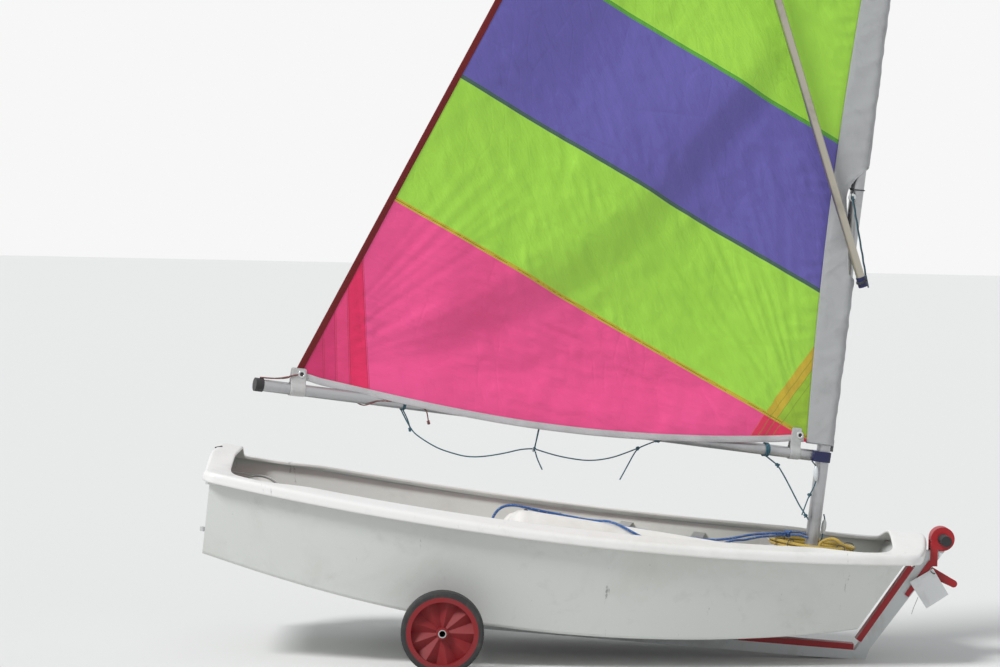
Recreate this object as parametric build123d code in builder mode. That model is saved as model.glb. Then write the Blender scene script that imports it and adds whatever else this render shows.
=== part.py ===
from build123d import *
import os
from math import atan2, cos, hypot, pi, radians, sin, tan

# A small pram-bowed sailing dinghy with a spritsail, parked on its two-wheeled launching trolley.
# Lengths are in millimetres and angles in degrees.
# The row's frame: X forward, Y to port, Z up, with its origin on the ground under the trolley's front foot.

# How the boat stands on its trolley
trim = 5.97              # bow down
stern_x = -2133          # the sheer's stern end, from the front foot
stern_height = 612.6     # the same point above the ground

# Hull, in the boat's own frame: x forward from the stern's outer edge, z up from the ends of the sheer
hull_length = 2300
stern_half_beam = 472.5  # to the gunwale's outer edge
widest_half_beam = 565
widest_at = 1035
bow_half_beam = 318
sheer_dip = 49
hull_wall = 5
floor_thickness = 6
bow_rake = 26.3
chine_radius = 14
station_shares = (0.26, 0.5, 0.74)   # of the hull's length, between the two transoms
# The chine and the keel's drop below it are fair arcs, given at the stern, at the widest or deepest place and at the bow
stern_chine_half, widest_chine_half, bow_chine_half = 368, 442, 220
widest_chine_at = 870
stern_chine_depth, chine_depth, bow_chine_depth = 271, 380, 269
stern_keel_drop, keel_drop, bow_keel_drop = 8, 11, 20

# Rim: a flange over the hull's edge with a rubbing strake outside it
overhang = 24
rim_thickness = 8
strake_depth = 34
side_rim = 60
end_rim = 80
rim_corner = 28
rim_inner_corner = 60
rim_round = 12           # of its long upper outer edges
stern_crown = 50
stern_crown_half, stern_crown_foot = 210, 330
stern_shoulder = 45
bow_crown = 46
bow_crown_foot = 235

# Mast, thwart and step
mast_radius = 22.5
mast_wall = 2
mast_bow_gap = 315.5     # from the bow's outer edge back to the mast's axis
thwart_top = -45
thwart_width = 260
thwart_thickness = 22
thwart_lip = 45
thwart_lip_thickness = 18
mast_hole_gap = 1
step_length, step_width = 150, 110
step_top = -262
step_cup_depth = 30
step_seat_gap = 0.3
mast_top = 1975

# Midship frame and daggerboard case
frame_at = 930
frame_thickness = 20
frame_top = -165
frame_rail_width = 70
frame_opening_width, frame_opening_height, frame_opening_radius = 150, 110, 30
case_length, case_width = 375, 47
slot_length, slot_width = 335, 17
case_top = -150
case_cap_thickness, case_cap_width = 14, 80

# Buoyancy bags: sides (one table row each) and stern
bag_width = 190
bag_frame_gap, bag_thwart_gap = 12, 60
bag_side_gap = 127       # from the gunwale's outer edge to the bag
bag_fore_bottom, bag_aft_bottom = -300, -315
# name, side (-1 starboard), top at the aft end, top at the fore end
side_bags = [("starboard", -1, -6, -46), ("port", 1, -75, -80)]
bag_end_radius = 32
stern_bag_radius = 95
stern_bag_length = 640
stern_bag_x, stern_bag_z = 150, -145
# Straps over the bags: how far along a side bag, and out from the middle on the stern bag
side_strap_shares = (0.2, 0.5, 0.8)
stern_strap_places = (-190, 190)
bag_strap_width, bag_strap_thickness, bag_strap_gap = 40, 1.5, 1.2

# Toe strap
strap_width, strap_thickness = 45, 3
strap_aft_gap = 70       # from the stern bag
strap_aft_z, strap_fore_z = -300, -240

# Rudder gudgeons on the stern transom
pintle_hole_radius = 4.1
gudgeon_eye_radius = 9
gudgeon_height = 14
gudgeon_reach = 29       # so that a pintle lifts out clear of the rim
gudgeon_plate_width, gudgeon_plate_height, gudgeon_plate_thickness = 90, 26, 3
upper_gudgeon_z, lower_gudgeon_z = -75, -230

# Rig: swung towards starboard about the mast's axis
rig_swing = 20
boom_at_mast = 258
boom_rise = 1.25
boom_radius = 18.5
boom_wall = 2
boom_start, boom_end = 46, 1938
boom_cap_length, boom_cap_radius = 26, 21
jaw_reach, jaw_height, jaw_thickness, jaw_gap = 16, 34, 9, 0.5
jaw_plug_length = 60
sleeve_radius = 26
# The sleeve's after edge: height, distance behind the mast's axis
sleeve_sections = [(300, 66), (1200, 91), (1950, 62)]
sleeve_clearance = 1
sleeve_slot_top, sleeve_slot_bottom = 1223, 842      # opening in its front for the sprit's tackle
sleeve_slot_depth, sleeve_slot_foot = 44, 6
cloth_thickness = 3
sail_gap = 1.5
tack_z = 309
clew_x, clew_z = 1846, 338
peak_x, peak_z = 872, 2711
throat_z = 1940
sprit_radius = 14
sprit_wall = 1.5
sprit_heel_x, sprit_heel_z, sprit_heel_off = -28, 860, 50
sprit_peak_off = 21
sprit_cap_length, sprit_cap_radius = 34, 16
strap_loop_thickness = 3
clew_strap_at, clew_strap_width = 1815, 52
tack_strap_at, tack_strap_width = 112, 40

# Trolley
wheel_radius = 130
wheel_width = 78
tyre_thickness = 17
axle_radius = 12.5
axle_wall = 2.5
axle_x = -1368.5
axle_end = 632
wheel_face = 625
wheel_bore_gap = 0.05
hub_radius, hub_rim_thickness = 19, 15
pleats, pleat_wall = 9, 6
pleat_apex, pleat_rise = 16, 11       # the pleated disc's middle off the wheel's, and its ridges above and below that
axle_pad_length, axle_pad_thickness, axle_pad_place = 130, 4.6, 250
beam_width, beam_depth = 50, 33
beam_slope = 3.7
beam_front_z = 8.2       # underside of the beam's front end above the ground
beam_front_x = -191
beam_back_x = -1420
pad_thickness = 20
beam_pad_back, beam_pad_front = -400, -21
sole_back, sole_front = -28, 22
elbow_corner_x = -14
upright_lean = 36.2
upright_length = 405
upright_foot_x, upright_foot_z = 34.4, 34.1
upright_depth, upright_top_depth = 36, 49
upright_pad_length, upright_pad_thickness = 300, 19
grip_radius, grip_length = 17.5, 240
grip_tube_radius = 12
head_radius = 39
head_along, head_back = 433, 30   # the grip's axis: up the upright, and back from its front face
cheek_thickness, cheek_gap = 6, 0.2
neck_width, neck_bottom = 23, 90
tongue_end = 213         # where the head's red tongue ends, up the upright
lug_along, lug_reach, lug_root, lug_tip_radius, lug_thickness = 322, 92, 34, 12, 16
lug_rise = 16
tag_width, tag_height, tag_thickness = 92, 102, 1.2
tag_along, tag_ahead, tag_turn, tag_gap = 285, 46, -55.5, 3

# Ropes in the boat: the sheet is bent to the mast's foot and runs aft over the starboard bag to its coil on the floor
sheet_radius = 4
sheet_knot = (1900, -40, -3)
sheet_knot_radius, sheet_knot_length = 12, 26
sheet_knot_turn = 142        # from the bow round to the way the rope leaves it
sheet_coil_at = (770, -235)
sheet_coil_radius, sheet_coil_width, sheet_coil_height = 44, 26, 34
painter_radius = 5
painter_coil_radius = 136
painter_coil_width, painter_coil_height = 27, 21
painter_hole = (20, -60)     # from the mast's axis
painter_hole_gap = 1.5
painter_knot_radius, painter_knot_length = 13, 22
# x, y, z in the boat's frame
sheet_out = [
    (1868, -65, -3), (1825, -98, -8), (1775, -131, -14), (1730, -163, -25), (1683, -191, -36), (1634, -214, -43),
    (1560, -226, -42), (1480, -233, -40), (1400, -239, -34), (1325, -247, -31), (1250, -255, -29),
    (1175, -264, -23), (1105, -276, -16), (1040, -296, -7), (990, -311, 1), (951, -318, -8), (929, -322, -36),
    (920, -323, -78), (911, -320, -113), (890, -314, -131), (864, -308, -146), (856, -303, -186), (855, -300, -243),
    (853, -296, -300), (838, -289, -340), (804, -280, -358),
]
sheet_back = [
    (790, -288, -355), (832, -299, -338), (853, -306, -298), (855, -310, -243), (856, -313, -186), (864, -318, -146),
    (890, -324, -131), (911, -330, -113), (920, -333, -78), (929, -332, -36), (951, -328, -8), (990, -321, 1),
    (1040, -306, -5), (1105, -286, -12), (1175, -274, -18), (1250, -268, -23), (1297, -300, -14), (1337, -340, -22),
    (1374, -362, -36), (1420, -368, -52), (1500, -362, -60), (1580, -352, -64), (1640, -335, -56), (1680, -290, -36),
    (1712, -240, -30), (1744, -200, -30), (1771, -166, -24), (1808, -124, -17), (1847, -84, -15.4),
    (1868, -65, -11.6),
]
painter_rise, painter_top, painter_end = (0, 0, -17), (40, -20, 5.5), (79, -33, -26)  # from the hole's axis

os.makedirs("parts", exist_ok=True)


def placed(frame, origin=(0, 0, 0), x_dir=(1, 0, 0), z_dir=(0, 0, 1)):
    """A plane whose origin and directions are given in another frame."""
    return Plane(frame.location * Plane(origin, x_dir=x_dir, z_dir=z_dir).location)


def finish(builder, name):
    """Names a finished piece and writes it."""
    builder.part.label = name
    export_step(builder.part, f"parts/{name}.step")


# The boat's frame, and the rig's: x aft along the boom, y to the sail's starboard face, z up the mast
boat = Plane(
    (stern_x, 0, stern_height),
    x_dir=(cos(radians(trim)), 0, -sin(radians(trim))),
    z_dir=(sin(radians(trim)), 0, cos(radians(trim))),
)
mast_x = hull_length - mast_bow_gap
swing = radians(rig_swing)
rig = placed(boat, (mast_x, 0, 0), x_dir=(-cos(swing), -sin(swing), 0))
rise = radians(boom_rise)
boom_frame = placed(rig, (0, 0, boom_at_mast), x_dir=(cos(rise), 0, sin(rise)), z_dir=(-sin(rise), 0, cos(rise)))


def across(frame, x):
    """A plane square to a frame's x axis, drawn in its y and z."""
    return placed(frame, (x, 0, 0), x_dir=(0, 1, 0), z_dir=(1, 0, 0))


def side_view(frame, y=0):
    """A plane drawn in a frame's x and z, facing its -y."""
    return placed(frame, (0, y, 0), x_dir=(1, 0, 0), z_dir=(0, -1, 0))


def arc_through(x, start, middle, end):
    """The height at x of the circle through three points."""
    (x1, y1), (x2, y2), (x3, y3) = start, middle, end
    d = 2 * (x1 * (y2 - y3) + x2 * (y3 - y1) + x3 * (y1 - y2))
    s1, s2, s3 = x1**2 + y1**2, x2**2 + y2**2, x3**2 + y3**2
    cx = (s1 * (y2 - y3) + s2 * (y3 - y1) + s3 * (y1 - y2)) / d
    cy = (s1 * (x3 - x2) + s2 * (x1 - x3) + s3 * (x2 - x1)) / d
    r = hypot(x1 - cx, y1 - cy)
    rest = (r**2 - (x - cx) ** 2) ** 0.5
    return cy + rest if y2 > cy else cy - rest


def half_beam(x):
    """Half-breadth to the gunwale's outer edge."""
    ends = (0, stern_half_beam), (widest_at, widest_half_beam), (hull_length, bow_half_beam)
    return arc_through(x, *ends)


def sheer(x):
    """Height of the rim's top above the ends of the sheer."""
    return arc_through(x, (0, 0), (hull_length / 2, -sheer_dip), (hull_length, 0))


def chine_half(x):
    """Half-breadth of the bottom."""
    bow_foot = hull_length - overhang - bow_chine_depth * tan(radians(bow_rake))
    ends = (overhang, stern_chine_half), (widest_chine_at, widest_chine_half), (bow_foot, bow_chine_half)
    return arc_through(x, *ends)


def chine_height(x):
    """Height of the chine, below the ends of the sheer."""
    bow_foot = hull_length - overhang - bow_chine_depth * tan(radians(bow_rake))
    ends = (overhang, -stern_chine_depth), (hull_length / 2, -chine_depth), (bow_foot, -bow_chine_depth)
    return arc_through(x, *ends)


hull_reach = 80          # how far the hull's solids are drawn above the sheer, before they are cut to it
below_hull = 2 * chine_depth


def hull_solid(inset, floor_inset):
    """The hull's outside, or its inside when drawn in by the wall and the floor."""
    rake = radians(bow_rake)
    bow_top_x = hull_length - overhang - inset / cos(rake)
    stern_x0 = overhang + inset
    lean = (sin(rake), 0, cos(rake))
    # plane, sheer half-breadth, sheer height, chine half-breadth, chine height, keel's drop, all in that plane
    rows = [(across(boat, stern_x0), half_beam(0), 0, stern_chine_half, -stern_chine_depth, stern_keel_drop)]
    for share in station_shares:
        x = share * hull_length
        rows.append((across(boat, x), half_beam(x), sheer(x), chine_half(x), chine_height(x), keel_drop))
    bow_plane = placed(boat, (bow_top_x, 0, 0), x_dir=(0, 1, 0), z_dir=(lean[2], 0, -lean[0]))
    rows.append((
        bow_plane, half_beam(hull_length), 0, bow_chine_half, -bow_chine_depth / cos(rake), bow_keel_drop / cos(rake),
    ))
    with BuildPart() as solid:
        for plane, beam, top, chine, chine_z, drop in rows:
            side = beam - overhang - inset
            low, low_z = chine - inset, chine_z + floor_inset
            flare = (side - low) / (top - low_z)
            high, high_z = side + flare * hull_reach, top + hull_reach
            with BuildSketch(plane) as section:
                with BuildLine():
                    ThreePointArc((-low, low_z), (0, low_z - drop), (low, low_z))
                    Polyline((low, low_z), (high, high_z), (-high, high_z), (-low, low_z))
                make_face()
                fillet(section.vertices().group_by(Axis.Y)[0], chine_radius - inset)
        loft()
    return solid.part


def below_sheer(drop):
    """All that lies under the rim's top lowered by drop: the sides' long arc and the two crowned ends."""
    deep = -below_hull
    with BuildPart() as body:
        with BuildSketch(side_view(boat)):
            with BuildLine():
                ThreePointArc((0, -drop), (hull_length / 2, -sheer_dip - drop), (hull_length, -drop))
                Polyline((hull_length, -drop), (hull_length, deep), (0, deep), (0, -drop))
            make_face()
        extrude(amount=widest_half_beam + overhang, both=True)
        with BuildSketch(across(boat, 0)) as stern_profile:
            with BuildLine():
                Polyline(
                    (-stern_crown_foot, deep), (-stern_crown_foot, -end_rim / 4 - drop),
                    (-stern_crown_half, stern_crown - drop), (stern_crown_half, stern_crown - drop),
                    (stern_crown_foot, -end_rim / 4 - drop), (stern_crown_foot, deep), close=True,
                )
            make_face()
            fillet(stern_profile.vertices().group_by(Axis.Y)[-1], stern_shoulder)
        extrude(amount=end_rim)
        with BuildSketch(across(boat, hull_length)):
            with BuildLine():
                foot = (bow_crown_foot, -end_rim / 4 - drop)
                ThreePointArc((-foot[0], foot[1]), (0, bow_crown - drop), foot)
                Polyline(foot, (foot[0], deep), (-foot[0], deep), (-foot[0], foot[1]))
            make_face()
        extrude(amount=-end_rim)
    return body.part


def rim_plan(side_inset, end_inset, corner):
    """The rim's outline from above, drawn in from the gunwale's outer edge."""
    back, front = end_inset, hull_length - end_inset
    with BuildSketch() as plan:
        with BuildLine():
            ThreePointArc(
                (back, half_beam(back) - side_inset), (widest_at, widest_half_beam - side_inset),
                (front, half_beam(front) - side_inset),
            )
            Line((front, half_beam(front) - side_inset), (front, -half_beam(front) + side_inset))
            ThreePointArc(
                (front, -half_beam(front) + side_inset), (widest_at, -widest_half_beam + side_inset),
                (back, -half_beam(back) + side_inset),
            )
            Line((back, -half_beam(back) + side_inset), (back, half_beam(back) - side_inset))
        make_face()
        fillet(plan.vertices(), corner)
    return plan.sketch


hull_outside = hull_solid(0, 0)
hull_inside = hull_solid(hull_wall, floor_thickness)
under_rim = below_sheer(rim_thickness)

# Hull shell, with the daggerboard's slot through its bottom
slot_x = frame_at + frame_thickness + case_length / 2
with BuildPart() as hull:
    add(hull_outside)
    add(hull_inside, mode=Mode.SUBTRACT)
    add(under_rim, mode=Mode.INTERSECT)
    with BuildSketch(placed(boat, (slot_x, 0, case_top))):
        SlotOverall(slot_length, slot_width)
    extrude(amount=-below_hull, mode=Mode.SUBTRACT)
finish(hull, "hull")

# Rim and rubbing strake, all round
with BuildPart() as gunwale:
    with BuildSketch(placed(boat, (0, 0, -140))):
        add(rim_plan(0, 0, rim_corner))
        add(rim_plan(side_rim, end_rim, rim_inner_corner), mode=Mode.SUBTRACT)
    extrude(amount=260)
    add(below_sheer(0), mode=Mode.INTERSECT)
    add(hull_outside.intersect(under_rim), mode=Mode.SUBTRACT)
    add(below_sheer(strake_depth), mode=Mode.SUBTRACT)
    long_edges = [edge for edge in gunwale.edges() if edge.length > hull_length / 2]
    middles = [(edge, boat.to_local_coords(edge @ 0.5)) for edge in long_edges]
    upper_outer = [
        edge for edge, middle in middles
        if abs(middle.Y) > widest_half_beam - rim_round and middle.Z > -sheer_dip - strake_depth / 2
    ]
    fillet(upper_outer, rim_round)
finish(gunwale, "gunwale")

# Mast thwart: a plank with a lip at each edge, let into the sides
with BuildPart() as mast_thwart:
    with BuildSketch(side_view(boat)):
        back, front = mast_x - thwart_width / 2, mast_x + thwart_width / 2
        with BuildLine():
            Polyline(
                (back, thwart_top), (front, thwart_top), (front, thwart_top - thwart_lip),
                (front - thwart_lip_thickness, thwart_top - thwart_lip),
                (front - thwart_lip_thickness, thwart_top - thwart_thickness),
                (back + thwart_lip_thickness, thwart_top - thwart_thickness),
                (back + thwart_lip_thickness, thwart_top - thwart_lip), (back, thwart_top - thwart_lip), close=True,
            )
        make_face()
    extrude(amount=widest_half_beam, both=True)
    add(hull_inside, mode=Mode.INTERSECT)
    with BuildSketch(placed(boat, (mast_x, 0, 0))):
        Circle(mast_radius + mast_hole_gap)
        with Locations(painter_hole):
            Circle(painter_radius + painter_hole_gap)
    extrude(amount=2 * thwart_top, mode=Mode.SUBTRACT)
finish(mast_thwart, "mast_thwart")

# Mast step: a block on the floor with a cup for the mast's heel
with BuildPart() as mast_step:
    with BuildSketch(placed(boat, (mast_x, 0, step_top))):
        RectangleRounded(step_length, step_width, step_width / 5)
    extrude(amount=-150)
    add(hull_inside, mode=Mode.INTERSECT)
    with BuildSketch(placed(boat, (mast_x, 0, step_top))):
        Circle(mast_radius + mast_hole_gap)
    extrude(amount=-step_cup_depth, mode=Mode.SUBTRACT)
finish(mast_step, "mast_step")
mast_heel = step_top - step_cup_depth + step_seat_gap

# Midship frame, with a hole for water and the toe strap, and a rail along its top
with BuildPart() as midship_frame:
    with BuildSketch(across(boat, frame_at)):
        with Locations((0, frame_top)):
            Rectangle(2 * widest_half_beam, chine_depth, align=(Align.CENTER, Align.MAX))
        frame_middle = (frame_top - chine_depth) / 2
        with Locations((-widest_chine_half / 2, frame_middle), (widest_chine_half / 2, frame_middle)):
            RectangleRounded(frame_opening_width, frame_opening_height, frame_opening_radius, mode=Mode.SUBTRACT)
    extrude(amount=frame_thickness)
    with BuildSketch(placed(boat, (frame_at + frame_thickness - frame_rail_width / 2, 0, frame_top))):
        Rectangle(frame_rail_width, 2 * widest_half_beam)
    extrude(amount=frame_thickness)
    add(hull_inside, mode=Mode.INTERSECT)
finish(midship_frame, "midship_frame")

# Daggerboard case: a narrow box over the slot, with a wider cap
with BuildPart() as daggerboard_case:
    with BuildSketch(placed(boat, (slot_x, 0, case_top))):
        SlotOverall(case_length, case_width)
    extrude(amount=-below_hull)
    add(hull_inside, mode=Mode.INTERSECT)
    with BuildSketch(placed(boat, (slot_x, 0, case_top))):
        SlotOverall(case_length, case_cap_width)
    extrude(amount=-case_cap_thickness)
    with BuildSketch(placed(boat, (slot_x, 0, case_top))):
        SlotOverall(slot_length, slot_width)
    extrude(amount=-below_hull, mode=Mode.SUBTRACT)
finish(daggerboard_case, "daggerboard_case")

# Side buoyancy bags: tall ovals that stand along the sides, each under three straps from the side to the floor
bag_aft_x = frame_at + frame_thickness + bag_frame_gap
bag_fore_x = mast_x - thwart_width / 2 - bag_thwart_gap
bag_middle = bag_side_gap + bag_width / 2
bag_aft_y = half_beam(bag_aft_x) - bag_middle
bag_fore_y = half_beam(bag_fore_x) - bag_middle
bag_run = hypot(bag_fore_x - bag_aft_x, bag_fore_y - bag_aft_y)


def bag_plane(side, run):
    """A plane across a side bag, run along from its aft end."""
    forward, outward = (bag_fore_x - bag_aft_x) / bag_run, side * (bag_fore_y - bag_aft_y) / bag_run
    foot = (bag_aft_x + run * forward, side * bag_aft_y + run * outward, 0)
    return placed(boat, foot, x_dir=(-outward, forward, 0), z_dir=(forward, outward, 0))


def under_strap(side, top, reach):
    """What lies under a strap: open towards the hull's side, and rounded over the bag's other shoulder."""
    with BuildSketch() as outline:
        with Locations((side * (below_hull / 2 - reach), top - below_hull / 2)):
            Rectangle(below_hull, below_hull)
        fillet(outline.vertices().group_by(Axis.Y)[-1].sort_by(Axis.X)[0 if side > 0 else -1], reach)
    return outline.sketch


for name, side, aft_top, fore_top in side_bags:
    with BuildPart() as side_bag:
        for run, top, bottom in ((0, aft_top, bag_aft_bottom), (bag_run, fore_top, bag_fore_bottom)):
            with BuildSketch(bag_plane(side, run)):
                with Locations((0, (top + bottom) / 2)):
                    SlotOverall(top - bottom, bag_width, rotation=90)
        loft(ruled=True)
        ends = side_bag.faces().filter_by(GeomType.PLANE).sort_by(Axis.X)
        fillet(ends[0].edges() + ends[-1].edges(), bag_end_radius)
    finish(side_bag, f"side_bag_{name}")

    with BuildPart() as side_straps:
        for share in side_strap_shares:
            top = aft_top + share * (fore_top - aft_top) + bag_strap_gap
            reach = bag_width / 2 + bag_strap_gap
            with BuildSketch(bag_plane(side, share * bag_run - bag_strap_width / 2)):
                add(under_strap(side, top + bag_strap_thickness, reach + bag_strap_thickness))
                add(under_strap(side, top, reach), mode=Mode.SUBTRACT)
            extrude(amount=bag_strap_width)
        add(hull_inside, mode=Mode.INTERSECT)
        add(under_rim, mode=Mode.INTERSECT)
    finish(side_straps, f"side_bag_straps_{name}")

# Stern buoyancy bag, across the boat, under two straps from the transom to the floor
with BuildPart() as stern_bag:
    with BuildSketch(placed(boat, (stern_bag_x, -stern_bag_length / 2, stern_bag_z), z_dir=(0, 1, 0))):
        Circle(stern_bag_radius)
    extrude(amount=stern_bag_length)
    fillet(stern_bag.edges(), bag_end_radius)
finish(stern_bag, "stern_bag")

with BuildPart() as stern_straps:
    reach = stern_bag_radius + bag_strap_gap
    for place in stern_strap_places:
        with BuildSketch(placed(boat, (stern_bag_x, place, stern_bag_z), z_dir=(0, -1, 0))):
            add(under_strap(-1, reach + bag_strap_thickness, reach + bag_strap_thickness))
            add(under_strap(-1, reach, reach), mode=Mode.SUBTRACT)
        extrude(amount=bag_strap_width / 2, both=True)
    add(hull_inside, mode=Mode.INTERSECT)
finish(stern_straps, "stern_bag_straps")

# Toe strap, from the midship frame to the floor by the stern
strap_start = (stern_bag_x + stern_bag_radius + strap_aft_gap, strap_aft_z)
strap_end = (frame_at, strap_fore_z)
with BuildPart() as toe_strap:
    with BuildSketch(side_view(boat)):
        with BuildLine():
            Polyline(
                strap_start, strap_end, (strap_end[0], strap_end[1] + strap_thickness),
                (strap_start[0], strap_start[1] + strap_thickness), close=True,
            )
        make_face()
    extrude(amount=strap_width / 2, both=True)
finish(toe_strap, "toe_strap")

# Rudder gudgeons: a plate on the transom and an eye behind it
for name, level in (("gudgeon_upper", upper_gudgeon_z), ("gudgeon_lower", lower_gudgeon_z)):
    with BuildPart() as gudgeon:
        with BuildSketch(across(boat, overhang)):
            with Locations((0, level)):
                RectangleRounded(gudgeon_plate_width, gudgeon_plate_height, gudgeon_plate_height / 4)
        extrude(amount=-gudgeon_plate_thickness)
        with BuildSketch(placed(boat, (overhang - gudgeon_plate_thickness, 0, level - gudgeon_height / 2))):
            with Locations((-gudgeon_reach, 0)):
                Circle(gudgeon_eye_radius)
            with Locations((-gudgeon_reach / 2, 0)):
                Rectangle(gudgeon_reach, 1.2 * gudgeon_eye_radius)
            with Locations((-gudgeon_reach, 0)):
                Circle(pintle_hole_radius, mode=Mode.SUBTRACT)
        extrude(amount=gudgeon_height)
    finish(gudgeon, name)

# Ropes: the painter is coiled round the mast on the thwart, the sheet on the floor behind the midship frame


def rope(points, radius):
    """A rope through points of the boat's frame: straight runs joined by arcs."""
    points = [boat.from_local_coords(Vector(*point)) for point in points]
    runs = [end - start for start, end in zip(points, points[1:])]
    radii = []
    for before, after in zip(runs, runs[1:]):
        half_turn = radians(before.get_angle(after) / 2)
        radii.append(0.45 * min(before.length, after.length) / tan(half_turn))
    with BuildPart() as tube:
        with BuildLine() as path:
            FilletPolyline(*points, radius=radii)
        with BuildSketch(Plane(path.line @ 0, z_dir=path.line % 0)):
            Circle(radius)
        sweep(path=path.line)
    return tube


def rope_coil(center, middle_radius, width, bottom, top):
    """A flat coil of rope as one ring."""
    with BuildPart() as ring:
        with BuildSketch(placed(boat, (*center, bottom))):
            Circle(middle_radius + width / 2)
            Circle(middle_radius - width / 2, mode=Mode.SUBTRACT)
        extrude(amount=top - bottom)
    return ring


knot_turn = radians(sheet_knot_turn)
knot_way = (cos(knot_turn), -sin(knot_turn))
knot_face = (
    sheet_knot[0] + knot_way[0] * sheet_knot_length / 2, sheet_knot[1] + knot_way[1] * sheet_knot_length / 2,
    sheet_knot[2],
)
with BuildPart() as mainsheet_knot:
    with BuildSketch(placed(boat, knot_face, x_dir=(0, 0, 1), z_dir=(-knot_way[0], -knot_way[1], 0))):
        Circle(sheet_knot_radius)
    extrude(amount=sheet_knot_length)
    fillet(mainsheet_knot.edges().filter_by(GeomType.CIRCLE).sort_by(Axis.X)[-1], sheet_knot_radius / 2)
    to_mast = (mast_x - sheet_knot[0], -sheet_knot[1], 0)
    with BuildSketch(placed(boat, sheet_knot, x_dir=(0, 0, 1), z_dir=to_mast)):
        Circle(0.8 * sheet_radius)
    extrude(amount=hypot(*to_mast) - mast_radius - mast_hole_gap)
    with BuildSketch(placed(boat, (mast_x, 0, sheet_knot[2] - sheet_radius))):
        Circle(mast_radius + mast_hole_gap + 2 * sheet_radius)
        Circle(mast_radius + mast_hole_gap, mode=Mode.SUBTRACT)
    extrude(amount=2 * sheet_radius)
finish(mainsheet_knot, "mainsheet_knot")

mainsheet_run = rope([knot_face, *sheet_out], sheet_radius)
finish(mainsheet_run, "mainsheet_run")

return_face = (knot_face[0], knot_face[1], knot_face[2] - 2.15 * sheet_radius)
mainsheet_return = rope([*sheet_back, return_face], sheet_radius)
finish(mainsheet_return, "mainsheet_return")

with BuildPart() as mainsheet_coil:
    sheet_coil_floor = chine_height(sheet_coil_at[0]) + floor_thickness
    add(rope_coil(
        sheet_coil_at, sheet_coil_radius, sheet_coil_width, sheet_coil_floor - sheet_coil_height,
        sheet_coil_floor + sheet_coil_height - keel_drop / 2,
    ).part)
    add(hull_inside, mode=Mode.INTERSECT)
finish(mainsheet_coil, "mainsheet_coil")

painter_coil = rope_coil(
    (mast_x, 0), painter_coil_radius, painter_coil_width, thwart_top, thwart_top + painter_coil_height
)
finish(painter_coil, "painter_coil")

hole_x, hole_y = mast_x + painter_hole[0], painter_hole[1]
with BuildPart() as painter_knot:
    with BuildSketch(placed(boat, (hole_x, hole_y, thwart_top - thwart_thickness))):
        Circle(painter_knot_radius)
    extrude(amount=-painter_knot_length)
    fillet(painter_knot.edges().sort_by(Axis.Z)[0], painter_knot_radius / 2)
finish(painter_knot, "painter_knot")

painter_lead = rope(
    [(hole_x, hole_y, thwart_top - thwart_thickness)]
    + [(hole_x + x, hole_y + y, z) for x, y, z in (painter_rise, painter_top, painter_end)],
    painter_radius,
)
finish(painter_lead, "painter_lead")

# Mast tube
with BuildPart(rig) as mast:
    with BuildSketch(placed(rig, (0, 0, mast_heel))):
        Circle(mast_radius)
        Circle(mast_radius - mast_wall, mode=Mode.SUBTRACT)
    extrude(amount=mast_top - mast_heel)
finish(mast, "mast")

# Plugs that close the mast's ends
plug_flange, plug_length = 3, 40
with BuildPart() as mast_cap:
    with BuildSketch(placed(rig, (0, 0, mast_top))):
        Circle(mast_radius)
    extrude(amount=plug_flange)
    with BuildSketch(placed(rig, (0, 0, mast_top))):
        Circle(mast_radius - mast_wall)
    extrude(amount=-plug_length)
finish(mast_cap, "mast_cap")

# Luff sleeve: a tapered pocket of cloth round the mast, open in front where the sprit's tackle works
with BuildPart() as luff_sleeve:
    for height, aft in sleeve_sections:
        with BuildSketch(placed(rig, (0, 0, height))):
            with BuildLine():
                turn = atan2((aft**2 - sleeve_radius**2) ** 0.5, sleeve_radius)
                touch = (sleeve_radius * cos(turn), sleeve_radius * sin(turn))
                ThreePointArc(touch, (-sleeve_radius, 0), (touch[0], -touch[1]))
                Polyline((touch[0], -touch[1]), (aft, -cloth_thickness / 2), (aft, cloth_thickness / 2), touch)
            make_face()
    loft()
    with BuildSketch(placed(rig, (0, 0, sleeve_sections[0][0]))):
        Circle(mast_radius + sleeve_clearance)
    extrude(amount=mast_top, mode=Mode.SUBTRACT)
    with BuildSketch(side_view(rig)):
        with BuildLine():
            ThreePointArc(
                (-2 * sleeve_radius, sleeve_slot_top), (sleeve_slot_depth / 4, sleeve_slot_top - sleeve_slot_depth),
                (sleeve_slot_depth, sleeve_slot_top - 2.5 * sleeve_slot_depth),
            )
            Polyline(
                (sleeve_slot_depth, sleeve_slot_top - 2.5 * sleeve_slot_depth),
                (sleeve_slot_foot, sleeve_slot_bottom + sleeve_radius), (-2 * sleeve_radius, sleeve_slot_bottom),
                (-2 * sleeve_radius, sleeve_slot_top),
            )
        make_face()
    extrude(amount=2 * sleeve_radius, both=True, mode=Mode.SUBTRACT)
finish(luff_sleeve, "luff_sleeve")


def sleeve_aft(z):
    """The sleeve's after edge at a height."""
    return arc_through(z, *sleeve_sections)


# Sail: a four-sided sheet from the sleeve's after edge to the clew and the peak
with BuildPart() as sail:
    with BuildSketch(side_view(rig)):
        with BuildLine():
            tack = (sleeve_aft(tack_z) + sail_gap, tack_z)
            throat = (sleeve_aft(throat_z) + sail_gap, throat_z)
            luff_middle = (tack_z + throat_z) / 2
            Polyline(tack, (clew_x, clew_z), (peak_x, peak_z), throat)
            ThreePointArc(throat, (sleeve_aft(luff_middle) + sail_gap, luff_middle), tack)
        make_face()
    extrude(amount=cloth_thickness / 2, both=True)
finish(sail, "sail")

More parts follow.
